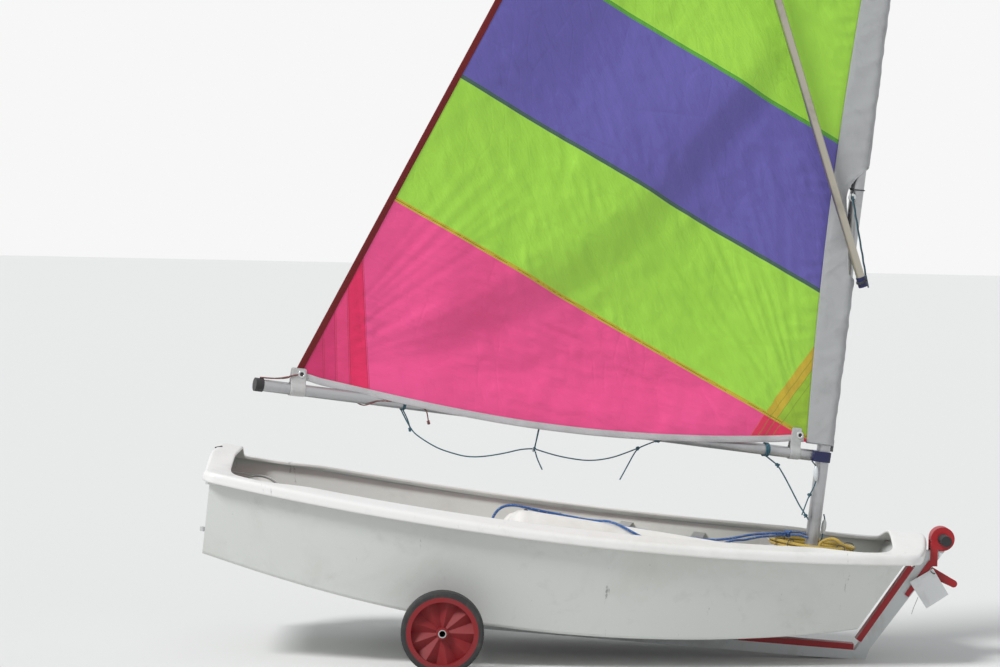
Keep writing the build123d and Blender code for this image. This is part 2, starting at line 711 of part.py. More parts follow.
# Boom tube, with its end cap and the jaw that rides on the mast
with BuildPart() as boom:
    with BuildSketch(across(boom_frame, boom_start)):
        Circle(boom_radius)
        Circle(boom_radius - boom_wall, mode=Mode.SUBTRACT)
    extrude(amount=boom_end - boom_start)
finish(boom, "boom")

with BuildPart() as boom_end_cap:
    with BuildSketch(across(boom_frame, boom_end)):
        Circle(boom_cap_radius)
    extrude(amount=boom_cap_length)
    with BuildSketch(across(boom_frame, boom_end)):
        Circle(boom_radius - boom_wall)
    extrude(amount=-plug_length)
finish(boom_end_cap, "boom_end_cap")

with BuildPart() as boom_jaw:
    jaw_inner = mast_radius + jaw_gap
    jaw_outer = jaw_inner + jaw_thickness
    with BuildSketch(placed(boom_frame, (0, 0, -jaw_height / 2))):
        Circle(jaw_outer)
        with Locations((boom_start / 2, 0)):
            Rectangle(boom_start, 2 * jaw_outer)
        Circle(jaw_inner, mode=Mode.SUBTRACT)
        with Locations((-jaw_outer - jaw_reach, 0)):
            Rectangle(2 * jaw_outer, 3 * jaw_outer, mode=Mode.SUBTRACT)
        with Locations((-jaw_outer / 2, 0)):
            Rectangle(jaw_outer, 2 * jaw_inner, mode=Mode.SUBTRACT)
    extrude(amount=jaw_height)
    with BuildSketch(across(boom_frame, boom_start)):
        Circle(boom_radius - boom_wall)
    extrude(amount=jaw_plug_length)
finish(boom_jaw, "boom_jaw")

# Webbing loops that hold the tack and the clew to the boom
boom_clear = boom_radius + jaw_gap
for name, at, width, eye_z in (
    ("clew_strap", clew_strap_at, clew_strap_width, clew_z + 22),
    ("tack_strap", tack_strap_at, tack_strap_width, tack_z + 30),
):
    top = eye_z - boom_at_mast - at * sin(rise)
    with BuildPart() as strap:
        with BuildSketch(across(boom_frame, at - width / 2)) as loop:
            half = cloth_thickness / 2
            with BuildLine():
                Polyline((-boom_clear, 0), (-half, 2 * boom_clear), (half, 2 * boom_clear), (boom_clear, 0), close=True)
            make_face()
            Circle(boom_clear)
            with Locations((0, top / 2)):
                Rectangle(cloth_thickness, top)
            hollow = loop.sketch_local
            offset(amount=strap_loop_thickness)
            with Locations((0, top)):
                Rectangle(4 * boom_clear, boom_clear, align=(Align.CENTER, Align.MIN), mode=Mode.SUBTRACT)
            add(hollow, mode=Mode.SUBTRACT)
        extrude(amount=width)
    finish(strap, name)

# Sprit: heel in front of the mast, peak in the sail's upper corner, on the starboard face
sprit_vector = (peak_x - sprit_heel_x, sprit_peak_off - sprit_heel_off, peak_z - sprit_heel_z)
sprit_length = hypot(*sprit_vector)
sprit_frame = placed(rig, (sprit_heel_x, sprit_heel_off, sprit_heel_z), x_dir=(0, 1, 0), z_dir=sprit_vector)
with BuildPart() as sprit:
    with BuildSketch(sprit_frame):
        Circle(sprit_radius)
        Circle(sprit_radius - sprit_wall, mode=Mode.SUBTRACT)
    extrude(amount=sprit_length)
finish(sprit, "sprit")

for name, level, out in (("sprit_heel", 0, -1), ("sprit_tip", sprit_length, 1)):
    with BuildPart() as fitting:
        with BuildSketch(placed(sprit_frame, (0, 0, level))):
            Circle(sprit_cap_radius)
        extrude(amount=out * sprit_cap_length)
        with BuildSketch(placed(sprit_frame, (0, 0, level))):
            Circle(sprit_radius - sprit_wall)
        extrude(amount=-out * sprit_cap_length)
    finish(fitting, name)

# Trolley axle and wheels
axle_z = wheel_radius
axle_frame = Plane((axle_x, 0, axle_z), x_dir=(1, 0, 0), z_dir=(0, -1, 0))
with BuildPart() as axle:
    with BuildSketch(axle_frame):
        Circle(axle_radius)
        Circle(axle_radius - axle_wall, mode=Mode.SUBTRACT)
    extrude(amount=axle_end, both=True)
finish(axle, "axle")

# Sleeves on the axle where the hull's bottom rests
with BuildPart() as axle_pads:
    for place in (-axle_pad_place, axle_pad_place):
        with BuildSketch(placed(axle_frame, (0, 0, place - axle_pad_length / 2))):
            Circle(axle_radius + axle_pad_thickness)
            Circle(axle_radius, mode=Mode.SUBTRACT)
        extrude(amount=axle_pad_length)
finish(axle_pads, "axle_pads")

# One pleat of the wheel's disc, drawn along x: a folded wall whose lines all start from one point on the axis
rim_radius = wheel_radius - tyre_thickness
with BuildPart() as pleat:
    for reach in (axle_radius / 2, rim_radius):
        with BuildSketch(placed(Plane.XY, (reach, 0, pleat_apex), x_dir=(0, 1, 0), z_dir=(1, 0, 0))):
            with BuildLine():
                half = reach * tan(pi / pleats)
                ridge = pleat_rise * reach / rim_radius
                Polyline(
                    (-half, -ridge), (0, ridge), (half, -ridge), (half, -ridge - pleat_wall), (0, ridge - pleat_wall),
                    (-half, -ridge - pleat_wall), close=True,
                )
            make_face()
    loft(ruled=True)

for hand, side in (("starboard", 1), ("port", -1)):
    wheel_frame = placed(axle_frame, (0, 0, side * (wheel_face - wheel_width / 2)), z_dir=(0, 0, side))
    with BuildPart(wheel_frame) as wheel_hub:
        with PolarLocations(0, pleats):
            add(pleat.part)
        Cylinder(rim_radius - hub_rim_thickness / 2, wheel_width, mode=Mode.INTERSECT)
        with BuildSketch(placed(wheel_frame, (0, 0, -wheel_width / 2))):
            Circle(rim_radius)
            Circle(rim_radius - hub_rim_thickness, mode=Mode.SUBTRACT)
            Circle(hub_radius)
        extrude(amount=wheel_width)
        Cylinder(axle_radius + wheel_bore_gap, wheel_width, mode=Mode.SUBTRACT)
    finish(wheel_hub, f"wheel_hub_{hand}")
    with BuildPart() as tyre:
        with BuildSketch(placed(wheel_frame, (0, 0, -wheel_width / 2))):
            Circle(wheel_radius)
            Circle(rim_radius, mode=Mode.SUBTRACT)
        extrude(amount=wheel_width)
        fillet(tyre.edges().filter_by(GeomType.CIRCLE).group_by(SortBy.RADIUS)[-1], tyre_thickness / 2)
    finish(tyre, f"tyre_{hand}")

# Trolley beam from behind the axle to the front elbow, sloping down to the ground
slope = radians(beam_slope)
beam_frame = Plane(
    (beam_front_x, 0, beam_front_z), x_dir=(cos(slope), 0, -sin(slope)), z_dir=(sin(slope), 0, cos(slope))
)
beam_length = (beam_front_x - beam_back_x) / cos(slope)
with BuildPart() as trolley_beam:
    with BuildSketch(side_view(beam_frame)):
        Rectangle(beam_length, beam_depth, align=(Align.MAX, Align.MIN))
    extrude(amount=beam_width / 2, both=True)
    with BuildSketch(axle_frame):
        Circle(axle_radius)
    extrude(amount=beam_width, both=True, mode=Mode.SUBTRACT)
finish(trolley_beam, "trolley_beam")

# Front elbow, whose sole stands on the ground
lean = radians(upright_lean)
upright_frame = Plane(
    (upright_foot_x, 0, upright_foot_z), x_dir=(cos(lean), 0, -sin(lean)), z_dir=(sin(lean), 0, cos(lean))
)
with BuildPart() as trolley_elbow:
    with BuildSketch(Plane.XZ):
        with BuildLine():
            top_back = (beam_front_x + beam_depth * sin(slope), beam_front_z + beam_depth * cos(slope))
            top_front = (elbow_corner_x, top_back[1] - (elbow_corner_x - top_back[0]) * tan(slope))
            upright_back = (upright_foot_x - upright_depth * cos(lean), upright_foot_z + upright_depth * sin(lean))
            Polyline(
                (beam_front_x, beam_front_z), (sole_back, 0), (sole_front, 0), (upright_foot_x, upright_foot_z),
                upright_back, top_front, top_back, close=True,
            )
        make_face()
    extrude(amount=beam_width / 2, both=True)
finish(trolley_elbow, "trolley_elbow")

# Upright in front of the bow, deeper at its top
with BuildPart() as trolley_upright:
    with BuildSketch(side_view(upright_frame)):
        with BuildLine():
            Polyline(
                (0, 0), (0, upright_length), (-upright_top_depth, upright_length - upright_depth), (-upright_depth, 0),
                close=True,
            )
        make_face()
    extrude(amount=beam_width / 2, both=True)
finish(trolley_upright, "trolley_upright")

# Pads on the beam and behind the upright
with BuildPart() as beam_pad:
    with BuildSketch(side_view(beam_frame)):
        with Locations((beam_pad_back - beam_front_x, beam_depth)):
            Rectangle(beam_pad_front - beam_pad_back, pad_thickness, align=(Align.MIN, Align.MIN))
    extrude(amount=beam_width / 2, both=True)
finish(beam_pad, "beam_pad")

upright_taper = atan2(upright_top_depth - upright_depth, upright_length - upright_depth)
pad_frame = placed(upright_frame, (-upright_depth, 0, 0), x_dir=(cos(upright_taper), 0, sin(upright_taper)),
                   z_dir=(-sin(upright_taper), 0, cos(upright_taper)))
with BuildPart() as upright_pad:
    with BuildSketch(side_view(pad_frame)):
        Rectangle(upright_pad_thickness, upright_pad_length, align=(Align.MAX, Align.MIN))
    extrude(amount=beam_width / 2, both=True)
finish(upright_pad, "upright_pad")

# Handle head: a fork that straddles the upright, with a round boss for the cross grip
grip_plane = placed(upright_frame, (-head_back, 0, head_along), x_dir=(cos(lean), 0, sin(lean)), z_dir=(0, -1, 0))
fork_half = beam_width / 2 + cheek_gap
with BuildPart() as handle_head:
    with BuildSketch(grip_plane):
        Circle(head_radius)
        with Locations((-head_radius + neck_width / 2, 0)):
            Rectangle(neck_width, neck_bottom, align=(Align.CENTER, Align.MAX))
        Circle(grip_tube_radius, mode=Mode.SUBTRACT)
    with BuildSketch(side_view(upright_frame)):
        with BuildLine():
            Polyline(
                (-4, tongue_end), (-4, head_along - neck_bottom + 8), (-neck_width, head_along - neck_bottom + 8),
                (-neck_width + 4, tongue_end), close=True,
            )
        make_face()
    extrude(amount=fork_half + cheek_thickness, both=True)
    with BuildSketch(side_view(upright_frame)):
        with Locations((0, 0)):
            Rectangle(4 * upright_top_depth, 2 * upright_length + 2 * cheek_gap)
    extrude(amount=fork_half, both=True, mode=Mode.SUBTRACT)
finish(handle_head, "handle_head")

with BuildPart() as handle_grip:
    with BuildSketch(grip_plane):
        Circle(grip_tube_radius)
    extrude(amount=grip_length / 2, both=True)
    for start, run in (
        (fork_half + cheek_thickness, grip_length / 2 - fork_half - cheek_thickness),
        (-fork_half - cheek_thickness, -grip_length / 2 + fork_half + cheek_thickness),
    ):
        with BuildSketch(placed(grip_plane, (0, 0, start))):
            Circle(grip_radius)
        extrude(amount=run)
finish(handle_grip, "handle_grip")

# Lug in front of the upright, with a round end
with BuildPart() as tow_lug:
    with BuildSketch(side_view(upright_frame)):
        with BuildLine():
            Polyline(
                (0, lug_along - lug_root / 2), (0, lug_along + lug_root / 2),
                (lug_reach, lug_along + lug_rise + lug_tip_radius), (lug_reach, lug_along + lug_rise - lug_tip_radius),
                close=True,
            )
        make_face()
        with Locations((lug_reach, lug_along + lug_rise)):
            Circle(lug_tip_radius)
    extrude(amount=lug_thickness / 2, both=True)
finish(tow_lug, "tow_lug")

# Blank tag that hangs beside the upright
tag_y = -(fork_half + cheek_thickness + tag_gap)
with BuildPart() as tag:
    with BuildSketch(side_view(upright_frame, tag_y)):
        with Locations(Location((tag_ahead, tag_along, 0), (0, 0, 1), tag_turn)):
            Rectangle(tag_height, tag_width)
    extrude(amount=tag_thickness)
finish(tag, "tag")
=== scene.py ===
"""Looks of the sailing dinghy on its launching trolley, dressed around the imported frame."""
from math import atan2, cos, pi, radians, sin, sqrt

import bpy
import numpy as np
from mathutils import Matrix, Vector


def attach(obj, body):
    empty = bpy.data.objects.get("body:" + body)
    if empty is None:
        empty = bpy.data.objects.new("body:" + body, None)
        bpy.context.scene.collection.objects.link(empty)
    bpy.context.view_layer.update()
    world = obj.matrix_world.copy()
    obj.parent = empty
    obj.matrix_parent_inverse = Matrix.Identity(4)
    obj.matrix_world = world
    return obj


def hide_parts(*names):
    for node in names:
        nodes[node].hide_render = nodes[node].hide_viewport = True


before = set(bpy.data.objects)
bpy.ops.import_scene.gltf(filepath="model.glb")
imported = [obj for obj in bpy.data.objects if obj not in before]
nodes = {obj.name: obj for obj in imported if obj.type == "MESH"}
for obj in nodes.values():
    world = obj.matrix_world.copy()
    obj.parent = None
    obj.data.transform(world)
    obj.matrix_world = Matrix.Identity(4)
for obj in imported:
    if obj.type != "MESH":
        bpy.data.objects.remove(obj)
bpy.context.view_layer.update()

# The boat's frame: x forward from the stern, z up from the ends of the sheer
TRIM = radians(5.97)
BOAT = Matrix((
    (cos(TRIM), 0, sin(TRIM), -2.133),
    (0, 1, 0, 0),
    (-sin(TRIM), 0, cos(TRIM), 0.6126),
    (0, 0, 0, 1),
))
# The rig's frame: x aft along the boom, y to the sail's starboard face, z up the mast
SWING = radians(20)
MAST_X = 1.9845
RIG = BOAT @ Matrix((
    (-cos(SWING), sin(SWING), 0, MAST_X),
    (-sin(SWING), -cos(SWING), 0, 0),
    (0, 0, 1, 0),
    (0, 0, 0, 1),
))
BOOM_HEIGHT = 0.258
BOOM_SLOPE = 0.02182
BOOM_RADIUS = 0.0185
# The shared frame's own axes, in which the trolley's pieces are given
GROUND = Matrix.Identity(4)


def linked(name, data):
    piece = bpy.data.objects.new(name, data)
    bpy.context.collection.objects.link(piece)
    return piece


# Camera at the photograph's place
camera_data = bpy.data.cameras.new("camera")
camera_data.lens = 123.62
camera_data.sensor_width = 36
camera_data.clip_end = 300
camera = linked("camera", camera_data)
camera.matrix_world = Matrix((
    (0.99972979, -0.02034995, -0.01123535, -1.3282),
    (-0.01053695, 0.03410755, -0.99936262, -11.2598),
    (0.02072019, 0.99921097, 0.03388391, 1.4281),
    (0, 0, 0, 1),
))
bpy.context.scene.camera = camera
bpy.context.scene.view_settings.view_transform = "Standard"


def give(node, **values):
    """Sets a node's inputs by name."""
    for name, value in values.items():
        node.inputs[name.replace("_", " ")].default_value = value
    return node


FINISHES = {}


class Finish:
    """A procedural material in the making, kept under its name in FINISHES."""

    def __init__(self, name, color, roughness, metallic=0.0, source="Object", **values):
        material = bpy.data.materials.new(name)
        material.use_nodes = True
        FINISHES[name] = material
        self.nodes = material.node_tree.nodes
        self.links = material.node_tree.links
        self.shader = self.nodes["Principled BSDF"]
        give(self.shader, Base_Color=(*color, 1), Roughness=roughness, Metallic=metallic, **values)
        self.coords = self.nodes.new("ShaderNodeTexCoord").outputs[source]
        self.last_bump = None

    def add(self, kind, **values):
        return give(self.nodes.new("ShaderNode" + kind), **values)

    def texture(self, kind, stretch=(1, 1, 1), turn=(0, 0, 0), **values):
        """A texture whose coordinates are turned, then stretched."""
        vector = self.coords
        for mapping in (self.add("Mapping", Rotation=turn), self.add("Mapping", Scale=stretch)):
            self.links.new(vector, mapping.inputs["Vector"])
            vector = mapping.outputs["Vector"]
        node = self.add("Tex" + kind, **values)
        self.links.new(vector, node.inputs["Vector"])
        return node

    def noise(self, scale, detail=4.0, roughness=0.55, distortion=0.0, **placed):
        values = {"Scale": scale, "Detail": detail, "Roughness": roughness, "Distortion": distortion}
        return self.texture("Noise", **placed, **values).outputs["Fac"]

    def cell_edges(self, scale, **placed):
        node = self.texture("Voronoi", **placed, Scale=scale)
        node.feature = "DISTANCE_TO_EDGE"
        return node.outputs["Distance"]

    def crossed(self, scale, turn=(0, 0, 0), other=(0, 0, pi / 2)):
        """Two sets of waves over each other, as in a weave or a braid."""
        one, two = (self.texture("Wave", turn=way, Scale=scale).outputs["Fac"] for way in (turn, other))
        return self.times(one, two)

    def span(self, value, low, high, to_low=0.0, to_high=1.0):
        """A value stretched from one range to another and held inside it."""
        node = self.add("MapRange", From_Min=low, From_Max=high, To_Min=to_low, To_Max=to_high)
        self.links.new(value, node.inputs["Value"])
        return node.outputs["Result"]

    def math(self, operation, first, second):
        node = self.add("Math")
        node.operation = operation
        for socket, value in zip(node.inputs, (first, second)):
            if isinstance(value, (int, float)):
                socket.default_value = value
            else:
                self.links.new(value, socket)
        return node.outputs["Value"]

    def times(self, first, second):
        return self.math("MULTIPLY", first, second)

    def tint(self, factor, color, blend="MIX"):
        """Mixes a colour over the present one where the factor is 1."""
        node = self.add("Mix")
        node.data_type = "RGBA"
        node.blend_type = blend
        base = self.shader.inputs["Base Color"]
        if base.links:
            self.links.new(base.links[0].from_socket, node.inputs["A"])
        else:
            node.inputs["A"].default_value = base.default_value
        node.inputs["B"].default_value = (*color, 1)
        self.links.new(factor, node.inputs["Factor"])
        self.links.new(node.outputs["Result"], base)
        return self

    def rough(self, scale, detail, low, high, **placed):
        """Roughness between two values, in patches."""
        patches = self.span(self.noise(scale, detail, **placed), 0, 1, low, high)
        self.links.new(patches, self.shader.inputs["Roughness"])
        return self

    def bump(self, height, distance, strength=1.0):
        node = self.add("Bump", Strength=strength, Distance=distance)
        self.links.new(height, node.inputs["Height"])
        if self.last_bump:
            self.links.new(self.last_bump, node.inputs["Normal"])
        self.last_bump = node.outputs["Normal"]
        self.links.new(self.last_bump, self.shader.inputs["Normal"])
        return self

    def grain(self, scale, detail, distance, strength=1.0, **more):
        return self.bump(self.noise(scale, detail, **more), distance, strength)

    def dirt(self, color, amount, scale, low=0.5, high=0.75):
        """Cloudy grime."""
        return self.tint(self.span(self.noise(scale, 8, 0.65, 0.4), low, high, 0, amount), color)

    def scuffs(self, color, amount, scale=9.0, stretch=(0.25, 1, 3)):
        """Thin short scratches and specks."""
        lines = self.span(self.noise(scale, 10, 0.8, stretch=stretch), 0.66, 0.72, 0, amount)
        specks = self.span(self.noise(60, 6, 0.75), 0.7, 0.74, 0, amount)
        return self.tint(lines, color).tint(specks, color)


def linear(red, green, blue):
    """A display colour, 0 to 255, as linear light."""
    shares = (red / 255, green / 255, blue / 255)
    return tuple(s / 12.92 if s <= 0.04045 else ((s + 0.055) / 1.055) ** 2.4 for s in shares)


def darker(color, share, lift=0.0):
    return tuple(c * share + lift for c in color)


def glass_fibre(name, color, marks):
    """Moulded glass fibre: a little grimy, with rubs and a faint orange-peel gloss."""
    finish = Finish(name, color, 0.32, Coat_Weight=0.25, Coat_Roughness=0.18)
    finish.dirt(tuple(c * f for c, f in zip(color, (0.8, 0.79, 0.74))), 0.65, 2.2)
    finish.dirt(darker(color, 0.62), 0.35, 11, 0.58, 0.8).scuffs((0.22, 0.22, 0.2), marks)
    rubs = finish.noise(5, 9, 0.75, stretch=(3.2, 1, 0.8))
    finish.tint(finish.span(rubs, 0.645, 0.68, 0, marks), (0.2, 0.2, 0.19))
    finish.rough(6, 6, 0.24, 0.5).grain(90, 2, 0.0004).grain(5, 2, 0.004, 0.3)


def spar_tube(name, color):
    """Satin anodised tube, drawn along its length, with handling marks."""
    finish = Finish(name, color, 0.34, 0.9).dirt(darker(color, 0.55), 0.6, 9)
    finish.scuffs((0.14, 0.14, 0.14), 0.6, 14, (3, 3, 0.4)).rough(40, 8, 0.24, 0.5, stretch=(1, 1, 0.1))
    finish.grain(220, 3, 0.0002, stretch=(1, 1, 0.05))


def moulded(name, color, roughness, worn):
    finish = Finish(name, color, roughness).dirt(darker(color, 0.55, 0.03), 0.6, 10)
    finish.scuffs(worn, 0.35, 18, (1, 1, 1)).rough(12, 6, roughness - 0.1, roughness + 0.18)
    finish.grain(260, 4, 0.0004)


def woven(name, color, scale, grime=0.4, roughness=0.85, source="UV", sheen=0.25):
    """Cloth or webbing with a plain weave; its coordinates are in metres."""
    finish = Finish(name, color, roughness, source=source, Sheen_Weight=sheen, Sheen_Roughness=0.5)
    finish.dirt(darker(color, 0.6), grime, 12)
    weave = finish.crossed(scale)
    # The weave's low parts are painted darker: painted shade in the hollows between the threads.
    finish.tint(finish.span(weave, 0, 0.5, 0.35, 0), darker(color, 0.55)).bump(weave, 0.0005)


def laid_rope(name, shown, fleck, scale=420.0):
    """Braided rope: slanting strands, with flecks of a second colour."""
    color = linear(*shown)
    finish = Finish(name, color, 0.8, Sheen_Weight=0.3)
    braid = finish.crossed(scale, (0.5, 0.4, 0.8), (-0.5, -0.4, -0.8))
    # The braid's grooves are painted darker: painted shade between the strands.
    finish.tint(finish.span(braid, 0, 0.6, 0.45, 0), darker(color, 0.4))
    finish.tint(finish.span(finish.noise(180, 2), 0.6, 0.64, 0, 0.6), linear(*fleck))
    finish.dirt(darker(color, 0.5, 0.03), 0.5, 20).bump(braid, 0.0012)


# The hull's outside and inside are copies of the rim's white gelcoat: the outside painted darker and greyer
# as painted shade, the inside painted lighter and warmer as painted bounce light.
glass_fibre("hull_white", (0.61, 0.625, 0.6), 0.8)
glass_fibre("inside_white_painted_light", (0.82, 0.785, 0.755), 0.35)
glass_fibre("rim_white", (0.77, 0.765, 0.75), 0.5)
spar_tube("spar_alloy", (0.44, 0.445, 0.455))
spar_tube("sprit_alloy", (0.46, 0.43, 0.36))
Finish("axle_alloy", (0.55, 0.56, 0.57), 0.42, 0.85).dirt((0.22, 0.2, 0.18), 0.7, 14).grain(150, 4, 0.0004)
steel = Finish("stainless", (0.62, 0.62, 0.63), 0.28, 1.0).dirt((0.35, 0.33, 0.31), 0.5, 30)
steel.grain(300, 3, 0.0002, stretch=(0.1, 1, 1))
paint = Finish("trolley_white", (0.62, 0.64, 0.65), 0.45).dirt((0.36, 0.35, 0.31), 0.8, 5)
paint.dirt((0.22, 0.2, 0.16), 0.6, 24, 0.62, 0.74).scuffs((0.25, 0.25, 0.25), 0.6).grain(120, 3, 0.0005)
Finish("black_rubber", (0.016, 0.016, 0.018), 0.7).grain(180, 6, 0.0012).rough(20, 4, 0.55, 0.85)
tyre = Finish("tyre_rubber", (0.02, 0.02, 0.021), 0.72).dirt((0.1, 0.09, 0.07), 0.55, 12)
tyre.grain(140, 8, 0.0014).rough(18, 6, 0.55, 0.9)
Finish("clear_toggle", (0.62, 0.66, 0.68), 0.25, Coat_Weight=0.4).dirt((0.45, 0.48, 0.5), 0.5, 40)
# The vinyl's warm cream tone is partly its own colour and partly painted warm reflected light.
vinyl = Finish("bag_vinyl", (0.8, 0.775, 0.74), 0.38, Coat_Weight=0.15, Coat_Roughness=0.3)
vinyl.dirt((0.62, 0.57, 0.51), 0.6, 5).dirt((0.4, 0.38, 0.35), 0.35, 16, 0.6, 0.8)
vinyl.grain(26, 4, 0.003, 0.6, distortion=0.6).grain(420, 2, 0.0002)
# The wheels' red is darker than the other red plastic: painted shade.
moulded("wheel_red_painted_shade", linear(124, 11, 19), 0.55, (0.3, 0.12, 0.12))
moulded("red_plastic", linear(160, 17, 28), 0.42, (0.5, 0.2, 0.2))
moulded("pale_plastic", (0.6, 0.62, 0.62), 0.4, (0.5, 0.5, 0.5))
moulded("black_plastic", (0.018, 0.018, 0.02), 0.45, (0.12, 0.12, 0.12))
moulded("navy_plastic", linear(22, 28, 74), 0.4, (0.15, 0.16, 0.25))
moulded("tag_card", (0.8, 0.81, 0.82), 0.4, (0.6, 0.6, 0.6))
woven("webbing", (0.6, 0.61, 0.6), 300)
woven("clew_webbing", (0.66, 0.65, 0.64), 300, 0.6)
woven("webbing_solid", (0.55, 0.55, 0.54), 300, source="Object")
woven("dark_webbing", (0.12, 0.13, 0.15), 300, source="Object")
woven("leech_red", linear(118, 8, 14), 500, 0.4, 0.8, sheen=0.0)
woven("foot_white", (0.76, 0.73, 0.745), 500, 0.5, 0.8)
# The sleeve's grey is darker than the other white cloth: painted shade.
woven("sleeve_white_painted_shade", (0.5, 0.51, 0.52), 360, 0.6, 0.7)
laid_rope("sheet_rope", (38, 108, 192), (170, 200, 225), 260)
laid_rope("painter_rope", (226, 190, 70), (170, 130, 40), 260)
laid_rope("teal_line", (22, 108, 130), (70, 160, 176))
laid_rope("red_line", (150, 60, 56), (225, 215, 205))
laid_rope("dark_line", (26, 34, 48), (90, 140, 170))


# Shapes are given in a frame's coordinates, in metres, and ride on that frame's body
def rider(name, data, material, axes):
    """An object that rides on a body; its finish is given by name."""
    data.materials.append(FINISHES[material])
    piece = linked(name, data)
    body = "rig" if axes is RIG else "boat"
    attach(piece, body)
    return piece


def put(name, vertices, faces, material, axes=RIG, uvs=None):
    """A mesh object with smooth faces."""
    mesh = bpy.data.meshes.new(name)
    matrix = np.array(axes)
    points = np.asarray(vertices, float).reshape(-1, 3) @ matrix[:3, :3].T + matrix[:3, 3]
    mesh.from_pydata(points.tolist(), [], faces)
    if uvs is not None:
        layer = mesh.uv_layers.new(name="rig")
        index = np.empty(len(mesh.loops), int)
        mesh.loops.foreach_get("vertex_index", index)
        layer.data.foreach_set("uv", np.asarray(uvs, float).reshape(-1, 2)[index].ravel())
    mesh.polygons.foreach_set("use_smooth", [True] * len(mesh.polygons))
    mesh.update()
    return rider(name, mesh, material, axes)


def grid_faces(rows, columns, close_rows=False, close_columns=False):
    """Quads over a grid of points."""
    faces = []
    for i in range(rows if close_rows else rows - 1):
        for j in range(columns if close_columns else columns - 1):
            k, n = (i + 1) % rows, (j + 1) % columns
            faces.append((i * columns + j, i * columns + n, k * columns + n, k * columns + j))
    return faces


def caps(rows, around):
    """The two end faces of a tube whose rings have this many points."""
    return [tuple(range(around))[::-1], tuple(range((rows - 1) * around, rows * around))]


def modified(piece, name, kind, **values):
    modifier = piece.modifiers.new(name, kind)
    for key, value in values.items():
        setattr(modifier, key, value)
    return piece


def thicken(piece, thickness):
    return modified(piece, "thickness", "SOLIDIFY", thickness=thickness, offset=0.0)


def smoothed(piece):
    return modified(piece, "smooth", "SUBSURF", levels=1, render_levels=1)


def softened(piece, width, segments=3):
    return modified(piece, "edges", "BEVEL", width=width, segments=segments, limit_method="ANGLE",
                    angle_limit=radians(35))


def line(name, points, diameter, material, axes=RIG):
    """A round line along a smooth curve with these control points."""
    curve = bpy.data.curves.new(name, "CURVE")
    curve.dimensions = "3D"
    curve.bevel_depth = diameter / 2
    curve.bevel_resolution = 4
    curve.resolution_u = 8
    curve.use_fill_caps = True
    spline = curve.splines.new("NURBS")
    spline.points.add(len(points) - 1)
    for point, place in zip(spline.points, points):
        point.co = (*(axes @ Vector(place)), 1)
    spline.order_u = 3
    spline.use_endpoint_u = True
    return rider(name, curve, material, axes)


def lathe(name, profile, center, axis, material, axes=RIG, around=32, close=True):
    """A turned piece: (radius, height) pairs along an axis through center."""
    way = Vector(axis).normalized()
    side = way.orthogonal().normalized()
    third = way.cross(side)
    points = []
    for radius, height in profile:
        for k in range(around):
            turn = 2 * pi * k / around
            points.append(Vector(center) + way * height + (side * cos(turn) + third * sin(turn)) * radius)
    faces = grid_faces(len(profile), around, close_columns=True)
    if close:
        faces += caps(len(profile), around)
    return softened(put(name, points, faces, material, axes), 0.0006, 2)


def toggle(name, top, low, radius, length, material):
    """A rounded barrel between two places."""
    top, low = Vector(top), Vector(low)
    shares = [k / 6 for k in range(7)]
    profile = [(radius * sqrt(max(0.02, 1 - (2 * s - 1) ** 2 * 0.92)), length * (s - 0.5)) for s in shares]
    return lathe(name, profile, (top + low) / 2, top - low, material)


def knot(name, center, size, line_diameter, material, seed, axes=RIG):
    """A small tied knot: a line wound over itself."""
    lean = np.random.RandomState(seed).uniform(-0.6, 0.6, 3)
    turn = Matrix.Rotation(lean[0] + seed, 3, "Z") @ Matrix.Rotation(lean[1] + 1.2, 3, "X")
    turns = []
    for k in range(30):
        t = 2 * pi * k / 30
        point = Vector((sin(t) + 1.6 * sin(2 * t), cos(t) - 1.6 * cos(2 * t), -1.4 * sin(3 * t))) * size / 5.2
        point.rotate(turn)
        turns.append(Vector(center) + point)
    return line(name, turns + turns[:1], line_diameter, material, axes)


def mm(places):
    """Places in millimetres, as metres."""
    return [tuple(number / 1000 for number in place) for place in places]


def smooth_noise(x, y, seed, cell=1.0):
    """Gradient noise on numpy arrays, between about -1 and 1."""
    random = np.random.RandomState(seed)
    table = random.permutation(256)
    turns = random.uniform(0, 2 * pi, 256)
    x, y = np.asarray(x) / cell, np.asarray(y) / cell
    x0, y0 = np.floor(x).astype(int), np.floor(y).astype(int)
    fx, fy = x - x0, y - y0
    ease_x, ease_y = fx * fx * fx * (fx * (6 * fx - 15) + 10), fy * fy * fy * (fy * (6 * fy - 15) + 10)

    def corner(dx, dy):
        turn = turns[table[(table[(x0 + dx) & 255] + y0 + dy) & 255]]
        return np.cos(turn) * (fx - dx) + np.sin(turn) * (fy - dy)

    low = corner(0, 0) * (1 - ease_x) + corner(1, 0) * ease_x
    high = corner(0, 1) * (1 - ease_x) + corner(1, 1) * ease_x
    return 1.5 * (low * (1 - ease_y) + high * ease_y)


def ridges(x, y, seed, cell):
    """Sharp folds: noise with creased crests."""
    return 1 - 2 * np.abs(smooth_noise(x, y, seed, cell))


def ease(value, low, high):
    """A smooth step from 0 at low to 1 at high."""
    t = np.clip((np.asarray(value, float) - low) / (high - low), 0, 1)
    return t * t * (3 - 2 * t)


